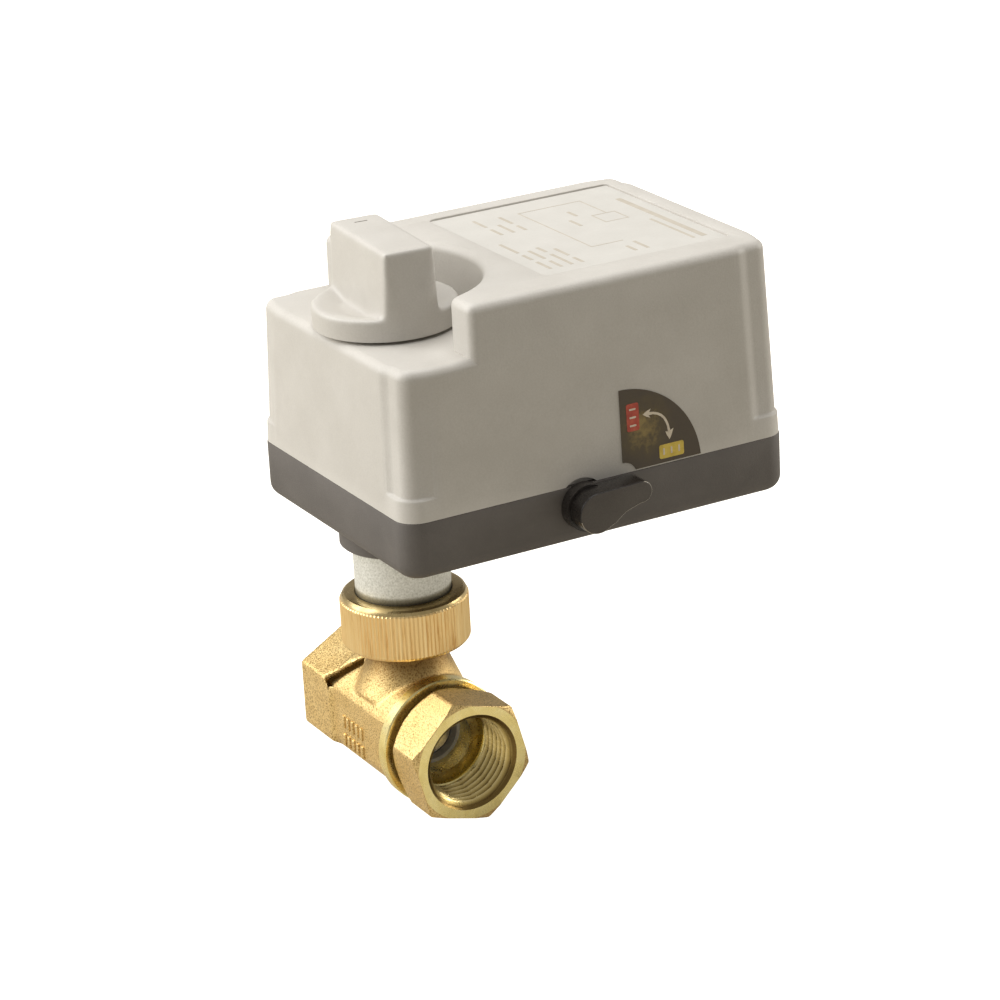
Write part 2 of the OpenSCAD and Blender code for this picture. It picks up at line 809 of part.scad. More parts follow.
module output_sector() {
    hub_r = 9;
    step = 360 / sector_teeth;
    from = idler_bearing + (sector_first - 0.6) * step;
    to = idler_bearing + (sector_last + 0.6) * step;
    root_r = sector_pitch_r - dedendum * output_m;
    color("lightsteelblue") translate([0, 0, sector_z]) difference() {
        union() {
            cylinder(h = sector_t, r = hub_r);
            linear_extrude(height = sector_t) {
                intersection() {
                    circle(r = root_r);
                    polygon(concat([[0, 0]], [for (i = [0:4]) polar(40, from + (to - from) * i / 4)]));
                }
                for (k = [sector_first:sector_last]) rotate(idler_bearing + k * step)
                    polygon(tooth_points(sector_teeth, output_m));
            }
        }
        translate([0, 0, -eps]) cylinder(h = sector_t + 1, r = shaft_r);
    }
}

// A disc on the shaft with one raised lobe that presses a limit switch
module cam(z, lobe_angle) {
    lobe_half = 14;
    color("white") translate([0, 0, z]) difference() {
        union() {
            cylinder(h = cam_t, r = cam_low_r);
            linear_extrude(height = cam_t) intersection() {
                circle(r = cam_r);
                polygon([[0, 0], polar(20, lobe_angle - lobe_half), polar(20, lobe_angle + lobe_half)]);
            }
        }
        translate([0, 0, -eps]) cylinder(h = cam_t + 1, r = shaft_r);
    }
}

module cam_open() { cam(switch_z[0] + switch_size[2] / 2 - cam_t / 2, 90); }
module cam_closed() { cam(switch_z[1] + switch_size[2] / 2 - cam_t / 2, 0); }

// ---------- clutch ----------

module clutch_gear() {
    hub_r = 4.5;
    back = idler_bearing + 180;
    color("whitesmoke") translate([idler_at[0], idler_at[1], 0]) difference() {
        union() {
            translate([0, 0, small_z])
                spur(small_teeth, output_m, hub_z - small_z, back + 180 / small_teeth);
            translate([0, 0, hub_z]) cylinder(h = large_z - hub_z, r = hub_r);
            translate([0, 0, large_z]) spur(large_teeth, motor_m, large_t, motor_bearing);
        }
        translate([0, 0, small_z - eps]) cylinder(h = 20, r = arbor_r + run_gap);
    }
}

module clutch_arbor() {
    color("silver") translate([idler_at[0], idler_at[1], lower_z])
        cylinder(h = upper_z + plate_t - lower_z, r = arbor_r);
}

module fork_guide() {
    color("silver") translate([guide_at[0], guide_at[1], lower_z])
        cylinder(h = upper_z + plate_t - lower_z, r = guide_r);
}

module clutch_fork() {
    slot_r = 4.7;
    pin = polar(crank_r, crank_angle);
    play = 0.15;
    slot_x0 = lever_x + pin[0] - crank_pin_r - play;
    slot_x1 = lever_x + crank_r + crank_pin_r + play;
    slot_z0 = lever_z + pin[1] - crank_pin_r - play;
    fork_end_y = idler_at[1] + 4;
    boss_r = 3.2;
    color("silver") difference() {
        union() {
            translate([fork_x0, fork_y0, fork_z]) cube([fork_x1 - fork_x0, fork_end_y - fork_y0, fork_t]);
            translate([blade_x0, fork_y0, fork_foot_z])
                cube([blade_x1 - blade_x0, fork_y1 - fork_y0, fork_z - fork_foot_z + fork_t]);
            translate([guide_at[0], guide_at[1], fork_z]) cylinder(h = fork_t + 1.6, r = boss_r);
        }
        translate([idler_at[0], idler_at[1], fork_z - eps]) cylinder(h = 3, r = slot_r);
        translate([idler_at[0] - slot_r, idler_at[1], fork_z - eps]) cube([2 * slot_r, 20, 3]);
        translate([slot_x0, fork_y0 - 1, slot_z0])
            cube([slot_x1 - slot_x0, 4, 2 * (crank_pin_r + play)]);
        translate([guide_at[0], guide_at[1], fork_z - eps]) cylinder(h = 6, r = guide_r + run_gap);
    }
}

// Corner j of the wire's cross-section at ring i of the helix
function spring_point(i, j) =
    let (
        a = 360 * spring_turns * i / spring_rings,
        b = 360 * j / spring_sides,
        r = spring_r + spring_wire * cos(b)
    )
    [r * cos(a), r * sin(a), spring_z0 + (spring_z1 - spring_z0) * i / spring_rings + spring_wire * sin(b)];

module clutch_spring() {
    n = spring_sides;
    points = [for (i = [0:spring_rings], j = [0:n - 1]) spring_point(i, j)];
    sides = [for (i = [0:spring_rings - 1], j = [0:n - 1])
        [i * n + j, (i + 1) * n + j, (i + 1) * n + (j + 1) % n, i * n + (j + 1) % n]];
    start = [for (j = [0:n - 1]) j];
    end = [for (j = [n - 1:-1:0]) spring_rings * n + j];
    color("gainsboro") translate([idler_at[0], idler_at[1], 0])
        polyhedron(points = points, faces = concat(sides, [start, end]));
}

// ---------- motor ----------

module motor_can() {
    rim = 1.2;
    nose_r = 8;
    color("silver") translate([motor_at[0], motor_at[1], motor_z]) difference() {
        union() {
            cylinder(h = motor_h - rim, r = motor_r);
            translate([0, 0, motor_h - rim]) cylinder(h = rim, r1 = motor_r, r2 = motor_r - rim);
            translate([0, 0, motor_h]) cylinder(h = 0.6, r = nose_r);
            for (a = ear_angles) rotate([0, 0, a]) {
                translate([ear_d, 0, 0]) cylinder(h = ear_t, r = ear_r);
                translate([motor_r - 4, -ear_r, 0]) cube([ear_d - motor_r + 4, 2 * ear_r, ear_t]);
            }
        }
        translate([0, 0, -eps]) cylinder(h = 6, r = 2 + run_gap);
        for (a = ear_angles) rotate([0, 0, a]) translate([ear_d, 0, -eps]) cylinder(h = 4, r = m3_r);
    }
}

module motor_screws() {
    color("silver") translate([motor_at[0], motor_at[1], motor_z + ear_t])
        for (a = ear_angles) rotate([0, 0, a]) translate([ear_d, 0, 0]) rotate([180, 0, 0])
            screw(2.4, 1.6, m3_tap_r, 4);
}

module motor_pinion() {
    low = 70.5;
    teeth_h = 9;
    back = motor_bearing + 180;
    color("silver") translate([motor_at[0], motor_at[1], low]) {
        spur(pinion_teeth, motor_m, teeth_h, back + 180 / pinion_teeth);
        cylinder(h = motor_z + 5 - low, r = 2);
    }
}

// ---------- limit switches ----------

module limit_switch(level) {
    hole_r = 1.1;
    color("black") translate([switch_at[0], switch_at[1], switch_z[level]]) difference() {
        cube(switch_size);
        for (x = [5.1, 14.6]) translate([x, 7.3, -eps]) cylinder(h = 8, r = hole_r);
        translate([plunger_x - switch_at[0], -1, switch_size[2] / 2]) rotate([-90, 0, 0])
            cylinder(h = 5, r = plunger_r + run_gap);
    }
}

module plunger(level) {
    color("red") translate([plunger_x, 0, switch_z[level] + switch_size[2] / 2])
        rod_y(plunger_r, switch_at[1] - plunger_out, switch_at[1] + 2.4);
}

module limit_switch_open() { limit_switch(0); }
module limit_switch_closed() { limit_switch(1); }
module plunger_open() { plunger(0); }
module plunger_closed() { plunger(1); }

module switch_screws() {
    color("silver") for (x = [5.1, 14.6]) translate([switch_at[0] + x, switch_at[1] + 7.3, 0])
        translate([0, 0, switch_z[0] - 0.1]) cylinder(h = upper_z - switch_z[0] + 0.1, r = 1.1);
}

// ---------- electrical parts ----------

module circuit_board() {
    color("darkgreen") difference() {
        translate([board_at[0], board_at[1], board_z]) cube(board_size);
        for (p = board_posts) translate([p[0], p[1], board_z - eps]) cylinder(h = 3, r = m3_r);
    }
}

module board_screws() {
    color("silver") for (p = board_posts) translate([p[0], p[1], board_z + board_size[2]])
        rotate([180, 0, 0]) screw(2.3, 1.4, m3_tap_r, 6);
}

module terminal_block() {
    depth = 10;
    color("green") difference() {
        translate([terminal_at[0], terminal_at[1], board_z + board_size[2]])
            cube([depth, terminal_ways * terminal_pitch, terminal_h]);
        for (i = [0:terminal_ways - 1])
            translate([terminal_at[0] + depth / 2, terminal_at[1] + (i + 0.5) * terminal_pitch, board_z]) {
                translate([0, 0, board_size[2] + terminal_h - 3]) cylinder(h = 4, r = 1.9);
                translate([depth / 2 - 3, -1.5, board_size[2] + 1.5]) cube([4, 3, 3.4]);
            }
    }
}

module terminal_screws() {
    color("silver") for (i = [0:terminal_ways - 1])
        translate([terminal_at[0] + 5, terminal_at[1] + (i + 0.5) * terminal_pitch,
            board_z + board_size[2] + terminal_h - 3]) difference() {
            cylinder(h = 1.6, r = 1.85);
            translate([-2, -0.25, 0.9]) cube([4, 0.5, 1]);
        }
}

module run_capacitor() {
    color("goldenrod") translate([60.5, 9.5, board_z + board_size[2]]) cube([11, 9, 12.5]);
}

valve_body();
valve_end_cap();
ball();
seat_front();
seat_rear();
valve_stem();
stem_orings();
stem_washer();
union_gasket();
union_nut();
neck_sleeve();
neck_screws();
base_housing();
housing_gasket();
cover();
cover_screws();
position_knob();
shaft_seal();
manual_lever();
lever_shaft();
lever_seal();
mode_label();
top_label();
cable_grommet();
frame_lower_plate();
frame_upper_plate();
frame_pillars();
frame_screws();
output_shaft();
output_sector();
cam_open();
cam_closed();
drive_coupler();
shaft_bushings();
clutch_gear();
clutch_arbor();
clutch_fork();
fork_guide();
clutch_spring();
motor_can();
motor_screws();
motor_pinion();
limit_switch_open();
limit_switch_closed();
plunger_open();
plunger_closed();
switch_screws();
circuit_board();
board_screws();
terminal_block();
terminal_screws();
run_capacitor();
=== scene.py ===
"""Looks of a motorised quarter-turn ball valve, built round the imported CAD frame."""

import math

import bmesh
import bpy
from mathutils import Matrix, Vector


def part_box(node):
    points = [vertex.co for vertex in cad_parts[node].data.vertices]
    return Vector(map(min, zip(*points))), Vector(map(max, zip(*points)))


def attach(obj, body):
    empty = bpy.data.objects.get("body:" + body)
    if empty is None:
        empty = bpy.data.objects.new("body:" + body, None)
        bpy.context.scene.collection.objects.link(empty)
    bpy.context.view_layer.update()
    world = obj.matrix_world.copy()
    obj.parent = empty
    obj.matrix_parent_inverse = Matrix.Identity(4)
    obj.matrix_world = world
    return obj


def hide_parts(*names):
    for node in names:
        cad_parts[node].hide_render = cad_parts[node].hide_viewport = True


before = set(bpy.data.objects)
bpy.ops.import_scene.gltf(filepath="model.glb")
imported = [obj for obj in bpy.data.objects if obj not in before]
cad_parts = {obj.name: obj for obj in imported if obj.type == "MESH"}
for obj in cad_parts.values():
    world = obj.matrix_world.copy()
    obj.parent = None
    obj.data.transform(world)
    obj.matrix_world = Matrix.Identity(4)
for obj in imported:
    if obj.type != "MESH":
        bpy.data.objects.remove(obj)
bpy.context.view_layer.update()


# ---------- valve body ----------
# Hot-forged brass, shot-blasted to a fine grain; the bores, the open end's rim and the pipe
# thread are turned afterwards. Everything else of the valve is held in or on it.

MM = 0.001
GRIP_CORNER = 14.78
GRIP_TURNED = 14.62
BARREL = 13.6
SIDE_FLAT = 12.2
PITCH = 1.814
THREAD_MINOR = 9.316
THREAD_DEPTH = 1.16
BODY_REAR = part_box("valve_body")[1].y / MM
RIM_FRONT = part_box("valve_body")[0].y / MM
THREAD_LENGTH = 12


def only(piece):
    bpy.ops.object.select_all(action="DESELECT")
    piece.select_set(True)
    bpy.context.view_layer.objects.active = piece


def settled(name):
    piece = bpy.context.object
    bpy.ops.object.transform_apply(location=True, rotation=True, scale=True)
    piece.name = piece.data.name = name
    return piece


def block(name, low, high):
    bpy.ops.object.select_all(action="DESELECT")
    low, high = Vector(low) * MM, Vector(high) * MM
    bpy.ops.mesh.primitive_cube_add(size=1, location=(low + high) / 2, scale=high - low)
    return settled(name)


def rod(name, axis, centre, radius, start, end, sides=96, end_radius=None):
    bpy.ops.object.select_all(action="DESELECT")
    place = Vector(centre)
    place["XYZ".index(axis)] = (start + end) / 2
    turn = {"X": (0, math.pi / 2, 0), "Y": (-math.pi / 2, 0, 0), "Z": (0, 0, 0)}[axis]
    bpy.ops.mesh.primitive_cone_add(
        vertices=sides, radius1=radius * MM,
        radius2=(radius if end_radius is None else end_radius) * MM,
        depth=(end - start) * MM, location=place * MM, rotation=turn)
    return settled(name)


def turned(name, axis, section, steps=144, centre=(0, 0)):
    """Draws a closed section point by point and spins it a full turn about the axis."""
    if axis == "Y":
        points = [Vector((radius, along, 0)) * MM for along, radius in section]
    else:
        points = [Vector((radius, 0, along)) * MM for along, radius in section]
    bpy.ops.object.select_all(action="DESELECT")
    bpy.ops.mesh.primitive_plane_add(size=MM, location=points[0])
    piece = settled(name)
    bpy.ops.object.mode_set(mode="EDIT")
    bpy.ops.mesh.select_mode(type="VERT")
    bpy.ops.mesh.select_all(action="SELECT")
    bpy.ops.mesh.merge(type="CENTER")
    for here, there in zip(points, points[1:] + points[:1]):
        bpy.ops.mesh.extrude_vertices_move(TRANSFORM_OT_translate={"value": there - here})
    bpy.ops.mesh.select_all(action="SELECT")
    bpy.ops.mesh.remove_doubles(threshold=2e-6)
    bpy.ops.mesh.spin(steps=steps, angle=2 * math.pi, use_auto_merge=True, center=(0, 0, 0),
                      axis=(0, 1, 0) if axis == "Y" else (0, 0, 1))
    bpy.ops.mesh.select_all(action="SELECT")
    bpy.ops.mesh.remove_doubles(threshold=2e-6)
    bpy.ops.mesh.normals_make_consistent(inside=False)
    bpy.ops.object.mode_set(mode="OBJECT")
    if axis == "Z" and centre != (0, 0):
        for corner in piece.data.vertices:
            corner.co += Vector((centre[0], centre[1], 0)) * MM
    return piece


def work(piece, tool, how="DIFFERENCE"):
    only(piece)
    step = piece.modifiers.new("tool", "BOOLEAN")
    step.operation, step.object, step.solver = how, tool, "EXACT"
    bpy.ops.object.modifier_apply(modifier=step.name)
    bpy.data.objects.remove(tool, do_unlink=True)


def smooth(piece, angle=35):
    only(piece)
    bpy.ops.object.shade_smooth_by_angle(angle=math.radians(angle))


def thread_wave(along, around):
    """How deep the thread's cut is at one place, from 0 on the crest to 1 in the root."""
    phase = (along / PITCH - around / (2 * math.pi)) % 1
    return min(1, max(0, 1.12 * (1 - abs(2 * phase - 1)) - 0.06))


def cut_thread(piece, mouth, inward, chamfer_radius):
    """Shapes the wall of a turned bore, which starts at the mouth, into a helical thread."""
    for corner in piece.data.vertices:
        x, y, z = corner.co / MM
        radius = math.hypot(x, z)
        deep = (y - mouth) * inward
        if -0.001 < deep < THREAD_LENGTH + 0.2 and radius < chamfer_radius + 0.01:
            wave = thread_wave(y, math.atan2(z, x))
            runout = min(1, max(0, (THREAD_LENGTH + 0.2 - deep) / 0.6))
            wanted = max(THREAD_MINOR + THREAD_DEPTH * wave * runout, chamfer_radius - deep)
            corner.co.x, corner.co.z = x * wanted / radius * MM, z * wanted / radius * MM


def thread_stations(mouth, inward):
    count = round(THREAD_LENGTH / PITCH * 12)
    return [mouth + inward * THREAD_LENGTH * k / count for k in range(count + 1)]


def noise(nodes, links, where, size_mm, detail=2, roughness=0.5):
    texture = nodes.new("ShaderNodeTexNoise")
    texture.inputs["Scale"].default_value = 1 / (size_mm * MM)
    texture.inputs["Detail"].default_value = detail
    texture.inputs["Roughness"].default_value = roughness
    links.new(where, texture.inputs["Vector"])
    return texture.outputs["Fac"]


def ramp(nodes, links, value, stops):
    band = nodes.new("ShaderNodeValToRGB")
    while len(band.color_ramp.elements) < len(stops):
        band.color_ramp.elements.new(0.5)
    for stop, (place, colour) in zip(band.color_ramp.elements, stops):
        stop.position = place
        stop.color = (*colour, 1) if len(colour) == 3 else colour
    links.new(value, band.inputs["Fac"])
    return band.outputs["Color"]


def spread(nodes, links, value, low, high, start=0.3, end=0.7):
    node = nodes.new("ShaderNodeMapRange")
    node.inputs["From Min"].default_value, node.inputs["From Max"].default_value = start, end
    node.inputs["To Min"].default_value, node.inputs["To Max"].default_value = low, high
    links.new(value, node.inputs["Value"])
    return node.outputs["Result"]


def bump(nodes, links, height, depth_mm, under=None):
    node = nodes.new("ShaderNodeBump")
    node.inputs["Strength"].default_value = 1
    node.inputs["Distance"].default_value = depth_mm * MM
    links.new(height, node.inputs["Height"])
    if under is not None:
        links.new(under, node.inputs["Normal"])
    return node.outputs["Normal"]


def new_finish(name, metal=0.0):
    finish = bpy.data.materials.new(name)
    finish.use_nodes = True
    nodes, links = finish.node_tree.nodes, finish.node_tree.links
    skin = nodes["Principled BSDF"]
    skin.inputs["Metallic"].default_value = metal
    where = nodes.new("ShaderNodeTexCoord").outputs["Object"]
    return finish, nodes, links, skin, where


def plain_finish(name, dark, base, light, rough, grain_mm, grain_depth, blotch_mm=9, metal=0.0):
    """Colour that drifts between three tones, with uneven gloss and a fine grain."""
    finish, nodes, links, skin, where = new_finish(name, metal)
    drift = noise(nodes, links, where, blotch_mm, 4, 0.6)
    links.new(ramp(nodes, links, drift, [(0.3, dark), (0.5, base), (0.7, light)]),
              skin.inputs["Base Color"])
    grain = noise(nodes, links, where, grain_mm, 3)
    links.new(spread(nodes, links, grain, rough[0], rough[1]), skin.inputs["Roughness"])
    links.new(bump(nodes, links, grain, grain_depth), skin.inputs["Normal"])
    return finish


def dress(piece, finish):
    if piece.material_slots:
        piece.material_slots[0].material = finish
    else:
        piece.data.materials.append(finish)


rear_grip = rod("rear_grip", "Y", (0, 0, 0), GRIP_CORNER, 14.5, BODY_REAR, sides=6)
valve_body = rod("valve_body_forging", "Y", (0, 0, 0), BARREL, RIM_FRONT + 2, 15)
work(valve_body, block("side_trim", (-SIDE_FLAT, -40, -20), (SIDE_FLAT, 40, 20)), "INTERSECT")
work(valve_body, rear_grip, "UNION")
stem_boss = rod("stem_boss", "Z", (0, 0, 0), 8.4, 6, 20.5)
boss_flare = rod("boss_flare", "Z", (0, 0, 0), 12.0, 8.5, 17.5, end_radius=8.2)
work(valve_body, stem_boss, "UNION")
work(valve_body, boss_flare, "UNION")
slot_axes = {}
for side in (-1, 1):
    slot = block("shoulder_slot", (-5.4, -1.3, -2.1), (5.4, 1.3, 3))
    along = Vector((-side * 6.6, -6.2, 5.8)).normalized()
    outward = Vector((side, 0, 1))
    outward = (outward - along * outward.dot(along)).normalized()
    slot_axes[side] = (along, outward.cross(along), outward)
    slot.matrix_world = Matrix.Translation(Vector((side * 9.3, 13.1, 9.1)) * MM) @ Matrix(
        slot_axes[side]).transposed().to_4x4()
    bpy.ops.object.transform_apply(location=True, rotation=True, scale=True)
    work(valve_body, slot)
only(valve_body)
skin_step = valve_body.modifiers.new("forged_skin", "REMESH")
skin_step.mode, skin_step.voxel_size = "VOXEL", 0.42 * MM
bpy.ops.object.modifier_apply(modifier=skin_step.name)
skin_step = valve_body.modifiers.new("forged_radii", "SMOOTH")
skin_step.factor, skin_step.iterations = 0.5, 4
bpy.ops.object.modifier_apply(modifier=skin_step.name)

for row, low_z in enumerate((-6.6, -2.2)):
    for k in range(5):
        pad_y = 9.2 - 2.1 * k
        pad = block("casting_pad", (-SIDE_FLAT - 0.4, pad_y - 0.6, low_z), (-SIDE_FLAT + 1, pad_y + 0.6, low_z + 3))
        only(pad)
        bpy.ops.object.mode_set(mode="EDIT")
        bpy.ops.mesh.select_all(action="SELECT")
        bpy.ops.mesh.bevel(offset=0.28 * MM, segments=3, affect="EDGES")
        bpy.ops.object.mode_set(mode="OBJECT")
        work(valve_body, pad, "UNION")
work(valve_body, turned("rim", "Y", [
    (RIM_FRONT, 9.9), (RIM_FRONT, 14.1), (RIM_FRONT + 0.3, 14.4), (RIM_FRONT + 2.8, 14.4),
    (RIM_FRONT + 3.1, 14.1), (RIM_FRONT + 3.1, 9.9)]), "UNION")
work(valve_body, turned("seat_collar", "Z", [
    (19.4, 3), (19.4, 8.4), (20, 8.8), (20, 11.3), (20.3, 11.6), (25.7, 11.6), (26, 11.3), (26, 3)]),
    "UNION")
work(valve_body, block("rear_facing", (-20, BODY_REAR - 0.12, -20), (20, BODY_REAR + 5, 20)))
work(valve_body, rod("chamber", "Y", (0, 0, 0), 10.2, RIM_FRONT - 1, 9.2))
work(valve_body, rod("rear_bore", "Y", (0, 0, 0), 7, 0, BODY_REAR + 1))
work(valve_body, rod("stem_bore", "Z", (0, 0, 0), 4.03, 0, 30, sides=48))
work(valve_body, rod("stem_seat", "Z", (0, 0, 0), 5.5, 0, 12.1, sides=48))
rear_stations = thread_stations(BODY_REAR - 0.12, -1)
rear_tap = turned("rear_tap", "Y",
                  [(BODY_REAR + 1, 1), (BODY_REAR + 1, 10.9)]
                  + [(y, max(THREAD_MINOR, 10.9 - (BODY_REAR - 0.12 - y))) for y in rear_stations]
                  + [(rear_stations[-1] - 0.9, THREAD_MINOR), (rear_stations[-1] - 0.9, 1)])
cut_thread(rear_tap, BODY_REAR - 0.12, -1, 10.9)
work(valve_body, rear_tap)
smooth(valve_body, 40)


def brass_finish(name, bright, base, dark):
    """Blasted forging: a fine light and dark grain over slow drifts of the brass tone, with a
    painted shadow: the colour is darkened on the boss under the nut, where the nut shades it."""
    finish, nodes, links, skin, where = new_finish(name, 1.0)
    grain = noise(nodes, links, where, 0.34, 2, 0.6)
    patches = noise(nodes, links, where, 6, 3, 0.6)
    colour = nodes.new("ShaderNodeMix")
    colour.data_type = "RGBA"
    colour.blend_type = "MULTIPLY"
    colour.inputs["Factor"].default_value = 1
    links.new(ramp(nodes, links, patches, [(0.3, base), (0.7, bright)]), colour.inputs["A"])
    links.new(ramp(nodes, links, grain, [(0.32, dark), (0.54, (1, 1, 1))]), colour.inputs["B"])
    place = nodes.new("ShaderNodeSeparateXYZ")
    links.new(where, place.inputs["Vector"])
    flat = nodes.new("ShaderNodeVectorMath")
    flat.operation = "MULTIPLY"
    flat.inputs[1].default_value = (1, 1, 0)
    links.new(where, flat.inputs[0])
    reach = nodes.new("ShaderNodeVectorMath")
    reach.operation = "LENGTH"
    links.new(flat.outputs["Vector"], reach.inputs[0])
    # Painted shadow: the brass colour is darkened above the body and near the stem, where the nut's shadow falls.
    painted_nut_shadow = nodes.new("ShaderNodeMath")
    painted_nut_shadow.operation = "MULTIPLY"
    links.new(spread(nodes, links, place.outputs["Z"], 0, 1, 0.0105, 0.0165), painted_nut_shadow.inputs[0])
    links.new(spread(nodes, links, reach.outputs["Value"], 1, 0, 0.0095, 0.0135), painted_nut_shadow.inputs[1])
    nut_shadow_tint = nodes.new("ShaderNodeMix")
    nut_shadow_tint.data_type, nut_shadow_tint.blend_type = "RGBA", "MULTIPLY"
    nut_shadow_tint.inputs["B"].default_value = (0.36, 0.30, 0.24, 1)
    links.new(painted_nut_shadow.outputs["Value"], nut_shadow_tint.inputs["Factor"])
    links.new(colour.outputs["Result"], nut_shadow_tint.inputs["A"])
    links.new(nut_shadow_tint.outputs["Result"], skin.inputs["Base Color"])
    links.new(spread(nodes, links, grain, 0.36, 0.56), skin.inputs["Roughness"])
    links.new(bump(nodes, links, grain, 0.10), skin.inputs["Normal"])
    return finish


def thread_finish():
    """Cut brass inside the bores: bright on the thread's crests, tarnished in its roots."""
    finish, nodes, links, skin, where = new_finish("threaded_brass", 1.0)
    flatten = nodes.new("ShaderNodeVectorMath")
    flatten.operation = "MULTIPLY"
    flatten.inputs[1].default_value = (1, 0, 1)
    links.new(where, flatten.inputs[0])
    reach = nodes.new("ShaderNodeVectorMath")
    reach.operation = "LENGTH"
    links.new(flatten.outputs["Vector"], reach.inputs[0])
    root = spread(nodes, links, reach.outputs["Value"], 0, 1, 0.0094, 0.0103)
    links.new(ramp(nodes, links, root, [(0.0, (0.84, 0.68, 0.32)), (0.45, (0.56, 0.42, 0.15)),
                                        (1.0, (0.20, 0.13, 0.04))]), skin.inputs["Base Color"])
    grain = noise(nodes, links, where, 0.5, 3)
    links.new(spread(nodes, links, grain, 0.24, 0.42), skin.inputs["Roughness"])
    links.new(bump(nodes, links, grain, 0.006), skin.inputs["Normal"])
    return finish


forged_brass = brass_finish("forged_brass", (0.90, 0.69, 0.33), (0.81, 0.59, 0.25), (0.42, 0.33, 0.22))
turned_brass = plain_finish("turned_brass", (0.86, 0.70, 0.28), (0.93, 0.78, 0.34), (0.97, 0.84, 0.42),
                            (0.24, 0.34), 0.9, 0.002, blotch_mm=4, metal=1.0)
threaded_brass = thread_finish()
dress(valve_body, forged_brass)
valve_body.data.materials.append(turned_brass)
valve_body.data.materials.append(threaded_brass)
# A dark copy of the forged brass, used as painted shade on faces that lie in shadow: the shoulder slots and the
# cap's back shoulder.
painted_shade_brass = brass_finish("painted_shade_brass", (0.34, 0.24, 0.10), (0.24, 0.16, 0.06), (0.5, 0.45, 0.4))
valve_body.data.materials.append(painted_shade_brass)
for face in valve_body.data.polygons:
    x, y, z = face.center / MM
    radius = math.hypot(x, z)
    # Painted shade: faces inside the two shoulder slots take the dark brass copy.
    for side in (-1, 1):
        along, across, outward = slot_axes[side]
        offset = face.center / MM - Vector((side * 9.3, 13.1, 9.1))
        if abs(offset.dot(along)) < 5.6 and abs(offset.dot(across)) < 1.5 and -2.6 < offset.dot(outward) < -0.35:
            face.material_index = 3
    on_rim = y < RIM_FRONT + 3.2 and radius > 13.7
    if radius < 10.7 and abs(z) < 13.5:
        face.material_index = 2
    elif on_rim or y < RIM_FRONT + 0.05 or y > BODY_REAR - 0.2 or z > 19.9:
        face.material_index = 1
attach(valve_body, "housing")
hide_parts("valve_body")


# ---------- ball, seats and stem ----------
# A plated brass ball between two moulded PTFE rings; the stem's tang turns it and two rubber
# rings seal the stem.

ball_plating = plain_finish("ball_plating", (0.50, 0.49, 0.47), (0.60, 0.59, 0.56), (0.68, 0.67, 0.64),
                            (0.10, 0.20), 0.6, 0.002, metal=1.0)
seat_ptfe = plain_finish("seat_ptfe", (0.62, 0.62, 0.60), (0.70, 0.70, 0.68), (0.76, 0.76, 0.74),
                         (0.42, 0.55), 0.4, 0.006)
seal_rubber = plain_finish("seal_rubber", (0.012, 0.012, 0.012), (0.02, 0.02, 0.02), (0.03, 0.03, 0.03),
                           (0.5, 0.7), 0.25, 0.01)
bright_steel = plain_finish("bright_steel", (0.52, 0.51, 0.49), (0.60, 0.59, 0.57), (0.68, 0.67, 0.65),
                            (0.2, 0.36), 0.35, 0.004, metal=1.0)
fibre = plain_finish("gasket_fibre", (0.08, 0.08, 0.08), (0.11, 0.11, 0.10), (0.15, 0.15, 0.14),
                     (0.6, 0.8), 0.3, 0.02)
for node, coat in (("ball", ball_plating), ("seat_front", seat_ptfe), ("seat_rear", seat_ptfe),
                   ("valve_stem", bright_steel), ("stem_orings", seal_rubber),
                   ("stem_washer", seat_ptfe), ("union_gasket", fibre)):
    dress(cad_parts[node], coat)


# ---------- end cap ----------
# Turned from hexagonal forged brass bar and screwed into the body's open end. Its blasted
# flats stay rough, the face, collar and half-inch pipe thread are cut smooth.

CAP_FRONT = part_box("valve_end_cap")[0].y / MM
CAP_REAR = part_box("valve_end_cap")[1].y / MM
CAP_TURN = -15.6
CAP_FLAT = 12.8


def hexagon(piece, low, high, turn, face, inward):
    """Presses the outer skin between two stations to six flats with turned-off corners."""
    for corner in piece.data.vertices:
        x, y, z = corner.co / MM
        radius = math.hypot(x, z)
        if low - 0.001 <= y <= high + 0.001 and radius > 12.9:
            around = (math.degrees(math.atan2(z, x)) - turn) % 60 - 30
            flat = CAP_FLAT / math.cos(math.radians(around))
            cone = 13.2 + 2.0 * max(0, (y - face) * inward)
            back = 12.9 + 0.75 * max(0, high - y)
            wanted = min(flat, GRIP_TURNED, cone, back)
            if abs(y - face) < 0.001:
                wanted -= 0.12
            corner.co.x, corner.co.z = x * wanted / radius * MM, z * wanted / radius * MM


front_stations = thread_stations(CAP_FRONT, 1)
cap_hex = [(CAP_FRONT + 0.1 * k, 14.5) for k in range(8, -1, -1)]
end_cap = turned("end_cap_hexagon", "Y", (
    [(y, max(THREAD_MINOR, 10.9 - (y - CAP_FRONT))) for y in front_stations]
    + [(front_stations[-1] + 0.1, 10.48), (front_stations[-1] + 1.3, 10.48),
       (front_stations[-1] + 1.4, 7), (CAP_REAR, 7), (CAP_REAR, 9.8), (CAP_REAR - 0.3, 10.1),
       (-14.5, 10.1), (-14.5, 11.9), (-14.7, 12.2), (-16, 12.2), (-16, 14.5)]
    + [(-16.3 - 0.3 * k, 14.5) for k in range(9)] + [(-22, 14.5)] + cap_hex), steps=216)
cut_thread(end_cap, CAP_FRONT, 1, 10.9)
hexagon(end_cap, CAP_FRONT, -16, CAP_TURN, CAP_FRONT, 1)
smooth(end_cap, 28)
dress(end_cap, forged_brass)
end_cap.data.materials.append(turned_brass)
end_cap.data.materials.append(threaded_brass)
end_cap.data.materials.append(painted_shade_brass)
